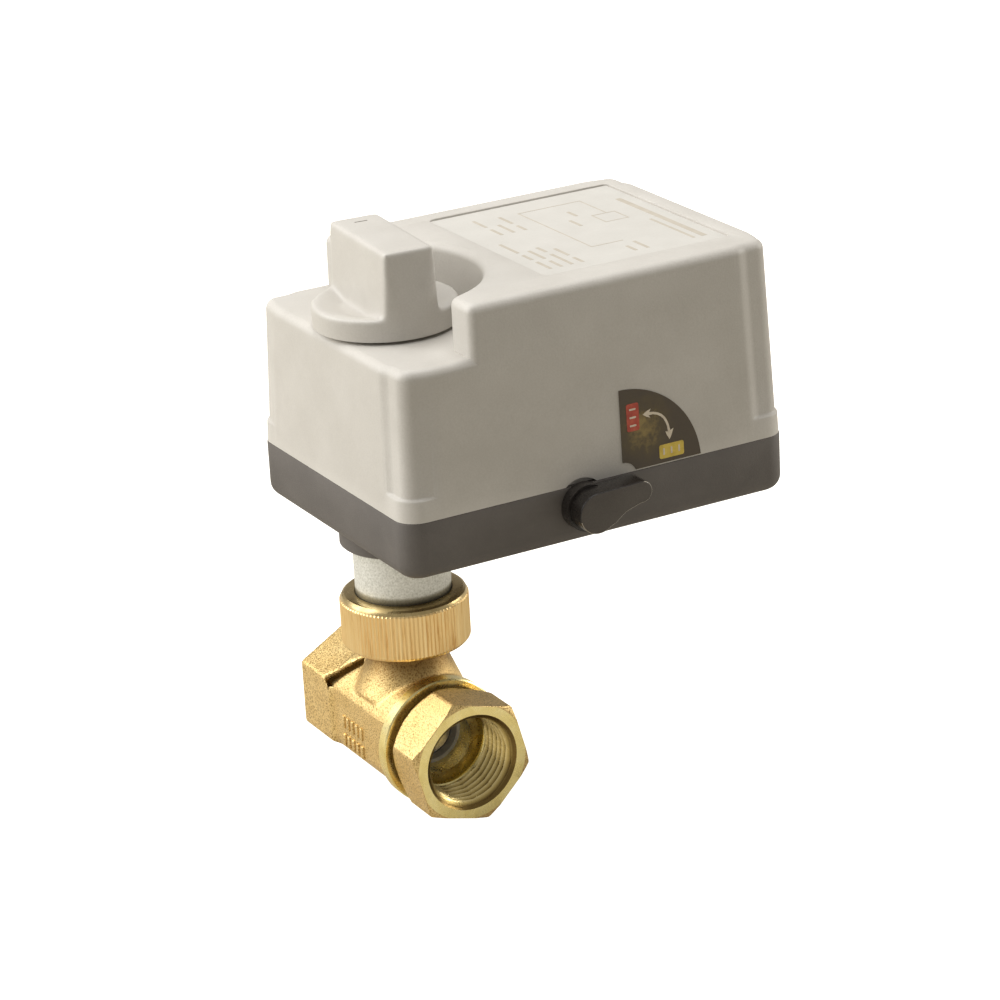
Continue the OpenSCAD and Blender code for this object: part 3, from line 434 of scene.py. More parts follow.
for face in end_cap.data.polygons:
    x, y, z = face.center / MM
    radius = math.hypot(x, z)
    # Painted shade: the back shoulder and collar behind the hexagon take the dark brass copy.
    if y > -16.05 and radius > 11.6:
        face.material_index = 3
    elif y < CAP_FRONT + 0.05 or radius < 12.3 and y > -16.2:
        face.material_index = 1
    elif radius < 11.2:
        face.material_index = 2
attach(end_cap, "housing")
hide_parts("valve_end_cap")


# ---------- neck sleeve ----------
# Die-cast zinc tube with a tumbled frosted skin. Three screws hold its flange in the housing
# and the union nut clamps its lower flange on the valve.

frosted_zinc = plain_finish("frosted_zinc", (0.58, 0.58, 0.53), (0.76, 0.76, 0.71), (0.90, 0.90, 0.86),
                            (0.40, 0.62), 0.3, 0.03, blotch_mm=0.45, metal=0.7)
nodes, links = frosted_zinc.node_tree.nodes, frosted_zinc.node_tree.links
skin = nodes["Principled BSDF"]
# Painted shade: the sleeve's colour is darkened in a band just above the union nut, where the gap lies in shadow.
height = nodes.new("ShaderNodeSeparateXYZ")
links.new(nodes["Texture Coordinate"].outputs["Object"], height.inputs["Vector"])
painted_nut_shade = nodes.new("ShaderNodeMix")
painted_nut_shade.data_type, painted_nut_shade.blend_type = "RGBA", "MULTIPLY"
painted_nut_shade.inputs["Factor"].default_value = 1
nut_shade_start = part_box("union_nut")[1].z + 0.3 * MM
links.new(skin.inputs["Base Color"].links[0].from_socket, painted_nut_shade.inputs["A"])
links.new(ramp(nodes, links, spread(nodes, links, height.outputs["Z"], 0, 1, nut_shade_start, nut_shade_start + 1.5 * MM),
               [(0.0, (0.16, 0.15, 0.12)), (0.55, (0.42, 0.40, 0.34)), (1.0, (1, 1, 1))]), painted_nut_shade.inputs["B"])
links.new(painted_nut_shade.outputs["Result"], skin.inputs["Base Color"])
dress(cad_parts["neck_sleeve"], frosted_zinc)
dress(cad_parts["neck_screws"], bright_steel)


# ---------- union nut ----------
# Turned brass ring with a straight rolled knurl for gripping by hand. It hangs on the
# sleeve's flange and screws down on the valve's collar.

NUT_LOW, NUT_HIGH = (corner.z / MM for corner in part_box("union_nut"))
NUT_RADIUS = 14.15
KNURL_TEETH = 96
KNURL_DEPTH = 0.26

union_nut = turned("union_nut_ring", "Z", [
    (NUT_LOW, 11.9), (NUT_LOW, 13.5), (NUT_LOW + 0.35, 13.84), (NUT_LOW + 0.75, NUT_RADIUS),
    (NUT_HIGH - 1.55, NUT_RADIUS), (NUT_HIGH - 1.2, 13.84), (NUT_HIGH - 1.0, 13.8),
    (NUT_HIGH - 0.5, 13.55), (NUT_HIGH - 0.12, 13.05), (NUT_HIGH, 12.6), (NUT_HIGH, 10.75),
    (NUT_HIGH - 0.2, 10.6), (28.6, 10.6), (28.6, 11.65), (NUT_LOW + 0.3, 11.65)], steps=4 * KNURL_TEETH)
for corner in union_nut.data.vertices:
    x, y, z = corner.co / MM
    radius = math.hypot(x, y)
    if radius > NUT_RADIUS - 0.01:
        tooth = math.atan2(y, x) / (2 * math.pi) * KNURL_TEETH % 1
        wanted = NUT_RADIUS - KNURL_DEPTH * abs(2 * tooth - 1)
        corner.co.x, corner.co.y = x * wanted / radius * MM, y * wanted / radius * MM
smooth(union_nut, 20)


def knurl_finish():
    finish, nodes, links, skin, where = new_finish("knurled_brass", 1.0)
    stretch = nodes.new("ShaderNodeMapping")
    stretch.inputs["Scale"].default_value = (1, 1, 0.06)
    links.new(where, stretch.inputs["Vector"])
    streak = noise(nodes, links, stretch.outputs["Vector"], 0.9, 3, 0.7)
    links.new(ramp(nodes, links, streak, [(0.30, (0.62, 0.36, 0.13)), (0.42, (0.86, 0.61, 0.28)),
                                          (0.7, (0.95, 0.73, 0.38))]), skin.inputs["Base Color"])
    grain = noise(nodes, links, where, 0.25, 2)
    links.new(spread(nodes, links, grain, 0.28, 0.46), skin.inputs["Roughness"])
    links.new(bump(nodes, links, streak, 0.05), skin.inputs["Normal"])
    return finish


dress(union_nut, knurl_finish())
# A darker copy of the nut's brass, used as painted shade on its top chamfer and inner faces.
painted_shade_nut_brass = plain_finish("painted_shade_nut_top", (0.50, 0.37, 0.17), (0.60, 0.46, 0.22), (0.70, 0.55, 0.29),
                         (0.26, 0.34), 0.9, 0.002, blotch_mm=3, metal=1.0)
union_nut.data.materials.append(painted_shade_nut_brass)
for face in union_nut.data.polygons:
    x, y, z = face.center / MM
    if z > NUT_HIGH - 1.3 or math.hypot(x, y) < 13.4:
        face.material_index = 1
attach(union_nut, "nut")
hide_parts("union_nut")


# ---------- base housing ----------
# Injection-moulded tray in dark glass-filled nylon with a spark-eroded matt skin. The gear
# frame, the neck and the cover are screwed to it.

BASE_LOW, BASE_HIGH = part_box("base_housing")
WALL = 2.2
X0, X1 = BASE_LOW.x / MM, BASE_HIGH.x / MM
Y1 = BASE_HIGH.y / MM
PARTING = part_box("cover")[0].z / MM
TRAY = PARTING - 13
LEVER_X, LEVER_Z = 26.1, PARTING - 4.5


def round_edges(piece, width, steps, wanted=None, sharpness=30, clamp=True):
    """Bevels the sharp edges that the test picks out, given their two ends in millimetres."""
    only(piece)
    bpy.ops.object.mode_set(mode="EDIT")
    bpy.ops.mesh.select_mode(type="EDGE")
    bpy.ops.mesh.select_all(action="DESELECT")
    bpy.ops.mesh.edges_select_sharp(sharpness=math.radians(sharpness))
    shape = bmesh.from_edit_mesh(piece.data)
    for edge in shape.edges:
        if edge.select and wanted and not wanted(edge.verts[0].co / MM, edge.verts[1].co / MM):
            edge.select_set(False)
    shape.select_flush_mode()
    bmesh.update_edit_mesh(piece.data)
    bpy.ops.mesh.bevel(offset=width * MM, segments=steps, affect="EDGES", clamp_overlap=clamp)
    bpy.ops.object.mode_set(mode="OBJECT")


def upright(a, b):
    return abs(a.z - b.z) > 2 and math.hypot(a.x - b.x, a.y - b.y) < 2


base = block("base_tray", (X0, -Y1, TRAY), (X1, Y1, PARTING))
round_edges(base, 5, 10, upright)
round_edges(base, 3.2, 7, lambda a, b: max(a.z, b.z) < TRAY + 0.01)
round_edges(base, 0.35, 2, lambda a, b: min(a.z, b.z) > PARTING - 0.01)
hollow = block("tray_hollow", (X0 + WALL, -Y1 + WALL, TRAY + WALL), (X1 - WALL, Y1 - WALL, PARTING + 2))
round_edges(hollow, 5 - WALL, 6, upright)
work(base, hollow)
work(base, turned("neck_collar", "Z", [
    (TRAY - 3.8, 10.6), (TRAY - 3.8, 12.9), (TRAY - 3.5, 13.2), (TRAY + 1, 13.2), (TRAY + 1, 10.6)]),
    "UNION")
SCREW_X = (X0 + 6.6, X1 - 6.6)
SCREW_Y = Y1 - 6.6
for x in SCREW_X:
    for y in (-SCREW_Y, SCREW_Y):
        work(base, rod("screw_post", "Z", (x, y, 0), 3.4, TRAY + 1, PARTING, sides=32), "UNION")
for x, y, radius, top in [(x, y, 2.4, 65.6) for x in (60, 71) for y in (-22, 22)] + [
        (-9.8, 20, 3, 62), (-9.8, -15, 3, 62), (52, -23.5, 3, 62), (30, 24, 3, 62)]:
    work(base, rod("stand", "Z", (x, y, 0), radius, TRAY + 1, top, sides=32), "UNION")
    work(base, rod("stand_hole", "Z", (x, y, 0), 1.25, top - 6, top + 1, sides=20))
work(base, rod("lever_boss", "Y", (LEVER_X, 0, LEVER_Z), 4.5, -Y1 + 1, -Y1 + 5, sides=48), "UNION")
work(base, rod("neck_bore", "Z", (0, 0, 0), 10.55, TRAY - 5, TRAY + 4))
for x in SCREW_X:
    for y in (-SCREW_Y, SCREW_Y):
        work(base, rod("screw_hole", "Z", (x, y, 0), 1.5, TRAY - 1, PARTING + 1, sides=24))
        work(base, rod("head_recess", "Z", (x, y, 0), 2.9, TRAY - 1, TRAY + 3, sides=32))
for angle in (0, 95, -95):
    place = (14.5 * math.cos(math.radians(angle)), 14.5 * math.sin(math.radians(angle)), 0)
    work(base, rod("neck_screw_hole", "Z", place, 1.25, 47.3, 50, sides=20))
work(base, rod("shaft_hole", "Y", (LEVER_X, 0, LEVER_Z), 2.55, -Y1 - 1, -Y1 + 6, sides=48))
work(base, rod("grommet_hole", "X", (0, 20, 54.3), 4, X1 - WALL - 1, X1 + 1, sides=48))
smooth(base, 30)


def moulded_finish(name, dark, base_tone, light, rough, grain_mm, grain_depth, gloss=0.5, wear=True):
    """Moulded plastic: a faint drift of tone, an eroded grain, and speckle in the gloss."""
    finish, nodes, links, skin, where = new_finish(name)
    drift = noise(nodes, links, where, 14, 3, 0.6)
    speck = noise(nodes, links, where, grain_mm, 4, 0.65)
    both = nodes.new("ShaderNodeMix")
    both.data_type = "FLOAT"
    both.inputs["Factor"].default_value = 0.5
    links.new(drift, both.inputs["A"])
    links.new(speck, both.inputs["B"])
    links.new(ramp(nodes, links, both.outputs["Result"],
                   [(0.36, dark), (0.5, base_tone), (0.64, light)]), skin.inputs["Base Color"])
    links.new(spread(nodes, links, speck, rough[0], rough[1]), skin.inputs["Roughness"])
    worn = nodes.new("ShaderNodeMix")
    worn.data_type = "RGBA"
    worn.inputs["B"].default_value = (*(min(1, 1.25 * tone) for tone in light), 1)
    links.new(skin.inputs["Base Color"].links[0].from_socket, worn.inputs["A"])
    links.new(spread(nodes, links, nodes.new("ShaderNodeNewGeometry").outputs["Pointiness"],
                     0, 0.6 if wear else 0.0, 0.53, 0.62), worn.inputs["Factor"])
    links.new(worn.outputs["Result"], skin.inputs["Base Color"])
    fine = bump(nodes, links, speck, grain_depth)
    links.new(bump(nodes, links, noise(nodes, links, where, 5, 1), 0.01, fine), skin.inputs["Normal"])
    skin.inputs["Specular IOR Level"].default_value = gloss
    return finish


dark_nylon = moulded_finish("dark_nylon", (0.062, 0.052, 0.044), (0.080, 0.068, 0.058),
                            (0.105, 0.091, 0.079), (0.54, 0.74), 0.34, 0.05, gloss=0.95)
dress(base, dark_nylon)
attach(base, "housing")
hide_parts("base_housing")
dress(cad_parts["housing_gasket"], seal_rubber)


# ---------- gear frame ----------
# Two stamped plates on turned brass pillars carry every shaft of the gear train.

plate_steel = plain_finish("plate_steel", (0.50, 0.49, 0.46), (0.58, 0.57, 0.54), (0.66, 0.65, 0.62),
                           (0.28, 0.45), 0.5, 0.004, metal=1.0)
pillar_brass = plain_finish("pillar_brass", (0.66, 0.48, 0.18), (0.76, 0.57, 0.24), (0.84, 0.65, 0.30),
                            (0.2, 0.32), 0.4, 0.003, metal=1.0)
for node, coat in (("frame_lower_plate", plate_steel), ("frame_upper_plate", plate_steel),
                   ("frame_pillars", pillar_brass), ("frame_screws", bright_steel),
                   ("shaft_bushings", pillar_brass)):
    dress(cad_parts[node], coat)


# ---------- gear train ----------
# Sintered steel wheels drive the shaft; the large wheel on the clutch arbor and the cams are
# moulded in white nylon. The lever's shaft lifts the fork to free the wheels.

sintered = plain_finish("sintered_steel", (0.20, 0.20, 0.19), (0.27, 0.27, 0.26), (0.33, 0.33, 0.31),
                        (0.35, 0.55), 0.18, 0.02, metal=1.0)
white_nylon = moulded_finish("white_nylon", (0.68, 0.67, 0.62), (0.76, 0.75, 0.70), (0.82, 0.81, 0.77),
                             (0.35, 0.5), 0.5, 0.01)
spring_steel = plain_finish("spring_steel", (0.28, 0.28, 0.28), (0.36, 0.36, 0.36), (0.44, 0.44, 0.43),
                            (0.22, 0.34), 0.3, 0.003, metal=1.0)
for node, coat in (("output_shaft", bright_steel), ("output_sector", sintered),
                   ("cam_open", white_nylon), ("cam_closed", white_nylon),
                   ("drive_coupler", sintered), ("clutch_gear", white_nylon),
                   ("clutch_arbor", bright_steel), ("clutch_fork", plate_steel),
                   ("fork_guide", bright_steel), ("clutch_spring", spring_steel),
                   ("lever_shaft", bright_steel), ("lever_seal", seal_rubber),
                   ("shaft_seal", seal_rubber), ("motor_pinion", sintered)):
    dress(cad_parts[node], coat)


# ---------- motor, switches and board ----------
# A flat synchronous motor sits on the upper plate, two snap switches stand beside the cams,
# and the board with its terminals and capacitor is screwed to the tray.

motor_tin = plain_finish("motor_tin", (0.55, 0.54, 0.52), (0.62, 0.61, 0.59), (0.70, 0.69, 0.66),
                         (0.24, 0.4), 0.6, 0.005, metal=1.0)
switch_black = moulded_finish("switch_black", (0.014, 0.014, 0.014), (0.022, 0.022, 0.022),
                              (0.034, 0.034, 0.033), (0.35, 0.5), 0.4, 0.01)
switch_red = moulded_finish("switch_red", (0.42, 0.03, 0.02), (0.52, 0.04, 0.03), (0.60, 0.07, 0.05),
                            (0.3, 0.45), 0.5, 0.006)
board_green = moulded_finish("board_green", (0.01, 0.10, 0.04), (0.015, 0.15, 0.06),
                             (0.03, 0.20, 0.09), (0.25, 0.4), 0.7, 0.006)
terminal_green = moulded_finish("terminal_green", (0.02, 0.22, 0.09), (0.03, 0.30, 0.13),
                                (0.05, 0.36, 0.17), (0.35, 0.5), 0.5, 0.01)
film_yellow = moulded_finish("film_yellow", (0.62, 0.42, 0.04), (0.74, 0.52, 0.06), (0.82, 0.60, 0.1),
                             (0.2, 0.34), 1.0, 0.006)
for node, coat in (("motor_can", motor_tin), ("motor_screws", bright_steel),
                   ("limit_switch_open", switch_black), ("limit_switch_closed", switch_black),
                   ("plunger_open", switch_red), ("plunger_closed", switch_red),
                   ("switch_screws", bright_steel), ("circuit_board", board_green),
                   ("board_screws", bright_steel), ("terminal_block", terminal_green),
                   ("terminal_screws", bright_steel), ("run_capacitor", film_yellow)):
    dress(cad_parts[node], coat)


# ---------- cover ----------
# Injection-moulded in warm light grey ABS with draft on every wall, a low shelf for the knob
# and relieved corners above a plain rim. Four screws from below hold it on the tray.

COVER_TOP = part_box("cover")[1].z / MM
SHELF = 92.2
STEP_X = 2.4
POCKET_X, POCKET_R = -4.8, 25.2
POST_R = 2.8
DRAFT = math.tan(math.radians(1.85))
RIM_TOP = 64.9
GAP = 0.1


def corner_path(relieved):
    """One corner in its own frame: u runs along the first wall up to the corner, v along the
    second wall away from it. The relieved corner steps in, turns, and runs out to the wall."""
    sink, radius = (0.85, 3.2) if relieved else (0, 5)
    path = [(-11, 0)]
    for k in range(9):
        t = k / 8
        path.append((-9.4 + 3.2 * t, sink * (3 * t * t - 2 * t ** 3)))
    for k in range(11):
        a = math.pi / 2 * k / 10
        path.append((-sink - radius + radius * math.sin(a), sink + radius - radius * math.cos(a)))
    for k in range(1, 9):
        t = k / 8
        path.append((-sink * (1 - t) ** 1.6, sink + radius + (9.4 - sink - radius) * t))
    return path


def wall_outline(height, relieved):
    """The cover's outline at one height: four corners in turn, walls leaning in by the draft."""
    inset = GAP + (height - PARTING) * DRAFT
    ax, bx, ay, by = X0 + inset, X1 - inset, -Y1 + inset, Y1 - inset
    corners = [((ax, ay), (0, -1), (1, 0)), ((bx, ay), (1, 0), (0, 1)),
               ((bx, by), (0, 1), (-1, 0)), ((ax, by), (-1, 0), (0, -1))]
    return [(cx + u * ux + v * vx, cy + u * uy + v * vy, height)
            for (cx, cy), (ux, uy), (vx, vy) in corners for u, v in corner_path(relieved)]


def plan_tool(name, skin, low, high):
    """What the knob's shelf leaves open, seen from above: everything left of the step and a
    round pocket beyond it, with rounded posts between the two. The skin is added all round."""
    step, bend, post = STEP_X + skin, POCKET_R + skin, POST_R - skin
    post_x = step + post
    post_y = math.sqrt((bend + post) ** 2 - (post_x - POCKET_X) ** 2)
    lean = math.atan2(post_y, POCKET_X - post_x)
    sweep = math.atan2(post_y, post_x - POCKET_X)
    half = [(step, -60), (step, -60 + 20)]
    for k in range(9):
        a = math.pi + (lean - math.pi) * k / 8
        half.append((post_x + post * math.cos(a), -post_y + post * math.sin(a)))
    for k in range(1, 40):
        a = -sweep + sweep * k / 40
        half.append((POCKET_X + bend * math.cos(a), bend * math.sin(a)))
    plan = [(-60, -60)] + half + [(POCKET_X + bend, 0)] + [(x, -y) for x, y in half[::-1]] + [(-60, 60)]
    bpy.ops.object.select_all(action="DESELECT")
    bpy.ops.mesh.primitive_circle_add(vertices=len(plan), radius=MM, fill_type="NGON")
    tool = settled(name)
    for corner, (x, y) in zip(tool.data.vertices, plan):
        corner.co = Vector((x, y, low)) * MM
    bpy.ops.object.mode_set(mode="EDIT")
    bpy.ops.mesh.select_all(action="SELECT")
    bpy.ops.mesh.extrude_region_move(TRANSFORM_OT_translate={"value": (0, 0, (high - low) * MM)})
    bpy.ops.mesh.select_all(action="SELECT")
    bpy.ops.mesh.normals_make_consistent(inside=False)
    bpy.ops.object.mode_set(mode="OBJECT")
    return tool


cover_rings = [wall_outline(PARTING, False), wall_outline(RIM_TOP - 0.25, False),
               wall_outline(RIM_TOP + 0.2, True), wall_outline(SHELF - 3, True),
               wall_outline(COVER_TOP, True)]
around = len(cover_rings[0])
cover_mesh = bpy.data.meshes.new("cover_moulding")
cover_mesh.from_pydata(
    [Vector(point) * MM for ring in cover_rings for point in ring], [],
    [tuple(range(around))[::-1]]
    + [(r * around + k, r * around + (k + 1) % around, (r + 1) * around + (k + 1) % around,
        (r + 1) * around + k) for r in range(len(cover_rings) - 1) for k in range(around)]
    + [tuple(range((len(cover_rings) - 1) * around, len(cover_rings) * around))])
cover = bpy.data.objects.new("cover_moulding", cover_mesh)
bpy.context.scene.collection.objects.link(cover)
work(cover, plan_tool("shelf_tool", 0, SHELF, COVER_TOP + 5))


def on_wall(a):
    return min(a.x - X0, X1 - a.x, a.y + Y1, Y1 - a.y) < 5


round_edges(cover, 2.0, 6, lambda a, b: min(a.z, b.z) > SHELF - 0.3 and (
    max(a.z, b.z) > SHELF + 0.3 or on_wall(a) and on_wall(b)), sharpness=40, clamp=False)
round_edges(cover, 0.25, 2, lambda a, b: abs(a.z - b.z) < 0.6 and RIM_TOP - 1 < a.z < RIM_TOP + 1)

room = block("cover_room", (X0 + WALL + 1, -Y1 + WALL + 1, PARTING - 2),
             (X1 - WALL - 1, Y1 - WALL - 1, COVER_TOP - WALL))
round_edges(room, 2.5, 5, upright)
work(room, plan_tool("shelf_skin", WALL, SHELF - WALL, COVER_TOP))
for x in SCREW_X:
    for y in (-SCREW_Y, SCREW_Y):
        work(room, rod("post", "Z", (x, y, 0), 3.4, PARTING - 3, COVER_TOP, sides=32))
work(room, rod("hole_boss", "Z", (0, 0, 0), 8.2, SHELF - 4.4, SHELF, sides=64))
work(cover, room)
work(cover, rod("knob_hole", "Z", (0, 0, 0), 6.2, SHELF - 5, SHELF + 1, sides=64))
for x in SCREW_X:
    for y in (-SCREW_Y, SCREW_Y):
        work(cover, rod("screw_bore", "Z", (x, y, 0), 1.25, PARTING - 1, PARTING + 12, sides=20))
LABEL_LOW, LABEL_HIGH = (25.4, -24.4, COVER_TOP - 0.5), (71.3, 27.2, COVER_TOP + 1)
recess = block("label_recess", LABEL_LOW, LABEL_HIGH)
round_edges(recess, 1.6, 6, lambda a, b: abs(a.z - b.z) > 1)
work(cover, recess)
round_edges(cover, 0.18, 2, lambda a, b: min(a.z, b.z) > COVER_TOP - 0.05
            and LABEL_LOW[0] - 0.1 < a.x < LABEL_HIGH[0] + 0.1 and abs(a.y) < 28, clamp=False)
work(cover, rod("lever_notch", "Y", (LEVER_X, 0, LEVER_Z), 5.9, -Y1 - 1, -Y1 + 1.2, sides=64))
smooth(cover, 30)

warm_abs = moulded_finish("warm_grey_abs", (0.52, 0.495, 0.45), (0.555, 0.53, 0.485),
                          (0.59, 0.565, 0.52), (0.38, 0.52), 0.42, 0.035, gloss=0.4)
dress(cover, warm_abs)
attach(cover, "housing")
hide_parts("cover")
dress(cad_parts["cover_screws"], bright_steel)


# ---------- position knob ----------
# One moulding in the cover's plastic: a dished disc with a tall grip bar across it, pressed
# on the output shaft's end. It shows how far the ball has turned.

KNOB_R, KNOB_LOW, DISC_TOP = 15.7, 92.9, 97.7
KNOB_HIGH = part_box("position_knob")[1].z / MM
BAR_FOOT, BAR_TOP = 6.3, 5.7
KNOB_TURN = math.radians(-4)

knob = rod("position_knob_moulding", "Z", (0, 0, 0), KNOB_R, KNOB_LOW - 2, KNOB_HIGH, sides=128)
for side in (-1, 1):
    flank = block("flank_tool", (BAR_FOOT, -20, DISC_TOP), (30, 20, KNOB_HIGH + 3))
    lean = (BAR_FOOT - BAR_TOP) * (KNOB_HIGH + 3 - DISC_TOP) / (KNOB_HIGH - DISC_TOP)
    for corner in flank.data.vertices:
        if corner.co.x < 10 * MM and corner.co.z > KNOB_HIGH * MM:
            corner.co.x -= lean * MM
    if side < 0:
        only(flank)
        flank.rotation_euler.z = math.pi
        bpy.ops.object.transform_apply(location=True, rotation=True, scale=True)
    work(knob, flank)
for side in (-1, 1):
    end = block("end_tool", (-20, 15.6, DISC_TOP - 1), (20, 30, KNOB_HIGH + 3))
    for corner in end.data.vertices:
        if corner.co.y < 20 * MM and corner.co.z > KNOB_HIGH * MM:
            corner.co.y -= 1.1 * MM
    if side < 0:
        only(end)
        end.rotation_euler.z = math.pi
        bpy.ops.object.transform_apply(location=True, rotation=True, scale=True)
    work(knob, end)
dish = rod("dish_tool", "Z", (0, 0, 0), 9.5, DISC_TOP - 1.5, DISC_TOP + 0.3, sides=128, end_radius=15)
work(dish, block("bar_guard", (-BAR_FOOT - 0.02, -20, 90), (BAR_FOOT + 0.02, 20, 99)))
work(knob, dish)
only(knob)
skin_step = knob.modifiers.new("moulded_skin", "REMESH")
skin_step.mode, skin_step.voxel_size = "VOXEL", 0.34 * MM
bpy.ops.object.modifier_apply(modifier=skin_step.name)
skin_step = knob.modifiers.new("moulded_radii", "SMOOTH")
skin_step.factor, skin_step.iterations = 0.5, 48
bpy.ops.object.modifier_apply(modifier=skin_step.name)
work(knob, block("underside_tool", (-20, -20, KNOB_LOW - 5), (20, 20, KNOB_LOW)))
work(knob, rod("shaft_socket", "Z", (0, 0, 0), 4.01, KNOB_LOW - 1, KNOB_LOW + 8, sides=64))
work(knob, block("index_mark", (-1.5, 10, KNOB_HIGH - 0.5), (1.5, 10.5, KNOB_HIGH + 1)))
only(knob)
knob.rotation_euler.z = KNOB_TURN
bpy.ops.object.transform_apply(location=True, rotation=True, scale=True)
smooth(knob, 30)
knob_abs = moulded_finish("warm_grey_abs_knob", (0.52, 0.495, 0.45), (0.555, 0.53, 0.485),
                          (0.59, 0.565, 0.52), (0.34, 0.46), 0.42, 0.02, gloss=0.45, wear=False)
dress(knob, knob_abs)
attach(knob, "drive")
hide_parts("position_knob")


# ---------- manual lever ----------
# Black satin moulding on the clutch shaft's end: a round hub running out to a narrow tip,
# its lower flank hollowed for the thumb.

LEVER_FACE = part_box("manual_lever")[0].y / MM
LEVER_THICK = 5.4
HUB_R, TIP_R, LEVER_REACH = 4.5, 2.4, 11
LEVER_REST = math.radians(12.5)


def lever_outline():
    """Counter-clockwise from the hub's upper tangent, in the lever's own frame."""
    slope = math.asin((HUB_R - TIP_R) / LEVER_REACH)
    up, down = math.pi / 2 - slope, math.radians(-62)
    points = []
    for k in range(33):
        a = up + (2 * math.pi + down - up) * k / 32
        points.append((HUB_R * math.cos(a), HUB_R * math.sin(a)))
    start, finish = Vector(points[-1]), Vector((LEVER_REACH - 0.9, -TIP_R + 0.16))
    for k in range(1, 12):
        t = k / 12
        early = min(1, 1.7 * t)
        ease = early * early * (3 - 2 * early)
        points.append((start.x + (finish.x - start.x) * t, start.y + (finish.y + 0.5 * (t - 1) - start.y) * ease))
    for k in range(17):
        a = math.radians(-111) + (up + math.radians(111)) * k / 16
        points.append((LEVER_REACH + TIP_R * math.cos(a), TIP_R * math.sin(a)))
    return points


outline = lever_outline()
bpy.ops.object.select_all(action="DESELECT")
bpy.ops.mesh.primitive_circle_add(vertices=len(outline), radius=MM, fill_type="NGON")
lever = settled("manual_lever_moulding")
for corner, (u, v) in zip(lever.data.vertices, outline):
    turn = LEVER_REST
    corner.co = Vector((LEVER_X + u * math.cos(turn) - v * math.sin(turn), LEVER_FACE,
                        LEVER_Z + u * math.sin(turn) + v * math.cos(turn))) * MM
bpy.ops.object.mode_set(mode="EDIT")
bpy.ops.mesh.select_all(action="SELECT")
bpy.ops.mesh.extrude_region_move(TRANSFORM_OT_translate={"value": (0, LEVER_THICK * MM, 0)})
bpy.ops.mesh.select_all(action="SELECT")
bpy.ops.mesh.normals_make_consistent(inside=False)
bpy.ops.object.mode_set(mode="OBJECT")
round_edges(lever, 0.28, 3, clamp=False, sharpness=60)
work(lever, rod("hub_flange", "Y", (LEVER_X, 0, LEVER_Z), 5.2, LEVER_FACE + LEVER_THICK - 1.2,
                -Y1 - 0.12, sides=64), "UNION")
work(lever, rod("hub", "Y", (LEVER_X, 0, LEVER_Z), 4.2, LEVER_FACE + 2, -Y1 + 0.8, sides=64), "UNION")
work(lever, rod("shaft_socket", "Y", (LEVER_X, 0, LEVER_Z), 2.52, LEVER_FACE + 2, -Y1 + 2, sides=48))
smooth(lever, 35)
# The lever's face keeps the plastic's own dark grey; its sides and hub take a much darker copy of it as painted
# shade.
lever_painted_shade_black = moulded_finish("lever_painted_shade_black", (0.012, 0.010, 0.009), (0.018, 0.015, 0.013),
                             (0.028, 0.024, 0.021), (0.24, 0.40), 0.5, 0.012)
lever_grain = moulded_finish("lever_grain", (0.058, 0.048, 0.040), (0.074, 0.063, 0.053),
                             (0.092, 0.080, 0.068), (0.40, 0.56), 0.3, 0.03)
painted_edge_highlight = moulded_finish("painted_edge_highlight", (0.26, 0.23, 0.18), (0.40, 0.36, 0.29),
                             (0.52, 0.47, 0.39), (0.24, 0.36), 0.5, 0.006)
dress(lever, lever_painted_shade_black)
lever.data.materials.append(lever_grain)
lever.data.materials.append(painted_edge_highlight)
# Painted highlight: the rounded edges along the front face's lower side and round the tip take a light copy of the
# plastic.
for face in lever.data.polygons:
    if face.center.y / MM < LEVER_FACE + 0.4:
        lowered = face.center.z / MM < LEVER_Z + math.tan(LEVER_REST) * (face.center.x / MM - LEVER_X)
        at_tip = face.center.x / MM > LEVER_X + LEVER_REACH
        if face.normal.y < -0.95:
            face.material_index = 1
        elif -0.95 < face.normal.y < -0.6 and (lowered or at_tip):
            face.material_index = 2
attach(lever, "lever")
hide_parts("manual_lever")


# ---------- mode label ----------
# Printed film stuck on the cover behind the lever: a dark worn gold ground, a red field for
# manual, a yellow one for automatic, and a curved arrow between them.

LABEL_X, LABEL_WALL = 36.4, -Y1 + 0.1
PRINT_BACK, PRINT_FRONT = 0.14, 0.19


def on_label(x, up, lift):
    tilt = math.atan(DRAFT)
    return Vector((x, LABEL_WALL + up * math.sin(tilt) - lift * math.cos(tilt),
                   PARTING + up * math.cos(tilt) + lift * math.sin(tilt))) * MM


def printed(name, points, finish, lift=0):
    """A flat patch of ink with the given outline, laid on the film or on other ink."""
    bpy.ops.object.select_all(action="DESELECT")
    bpy.ops.mesh.primitive_circle_add(vertices=len(points), radius=MM, fill_type="NGON")
    patch = settled(name)
    for corner, (x, up) in zip(patch.data.vertices, points):
        corner.co = on_label(x, up, PRINT_BACK + lift)
    step = on_label(0, 0, PRINT_FRONT) - on_label(0, 0, PRINT_BACK)
    bpy.ops.object.mode_set(mode="EDIT")
    bpy.ops.mesh.select_all(action="SELECT")
    bpy.ops.mesh.extrude_region_move(TRANSFORM_OT_translate={"value": step})
    bpy.ops.mesh.select_all(action="SELECT")
    bpy.ops.mesh.normals_make_consistent(inside=False)
    bpy.ops.object.mode_set(mode="OBJECT")
    dress(patch, finish)
    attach(patch, "housing")
    return patch


def field(low, high, radius=0.45):
    (ax, az), (bx, bz) = low, high
    points = []
    for cx, cz, start in ((bx - radius, bz - radius, 0), (ax + radius, bz - radius, 90),
                          (ax + radius, az + radius, 180), (bx - radius, az + radius, 270)):
        for k in range(5):
            a = math.radians(start + 22.5 * k)
            points.append((cx + radius * math.cos(a), cz + radius * math.sin(a)))
    return points


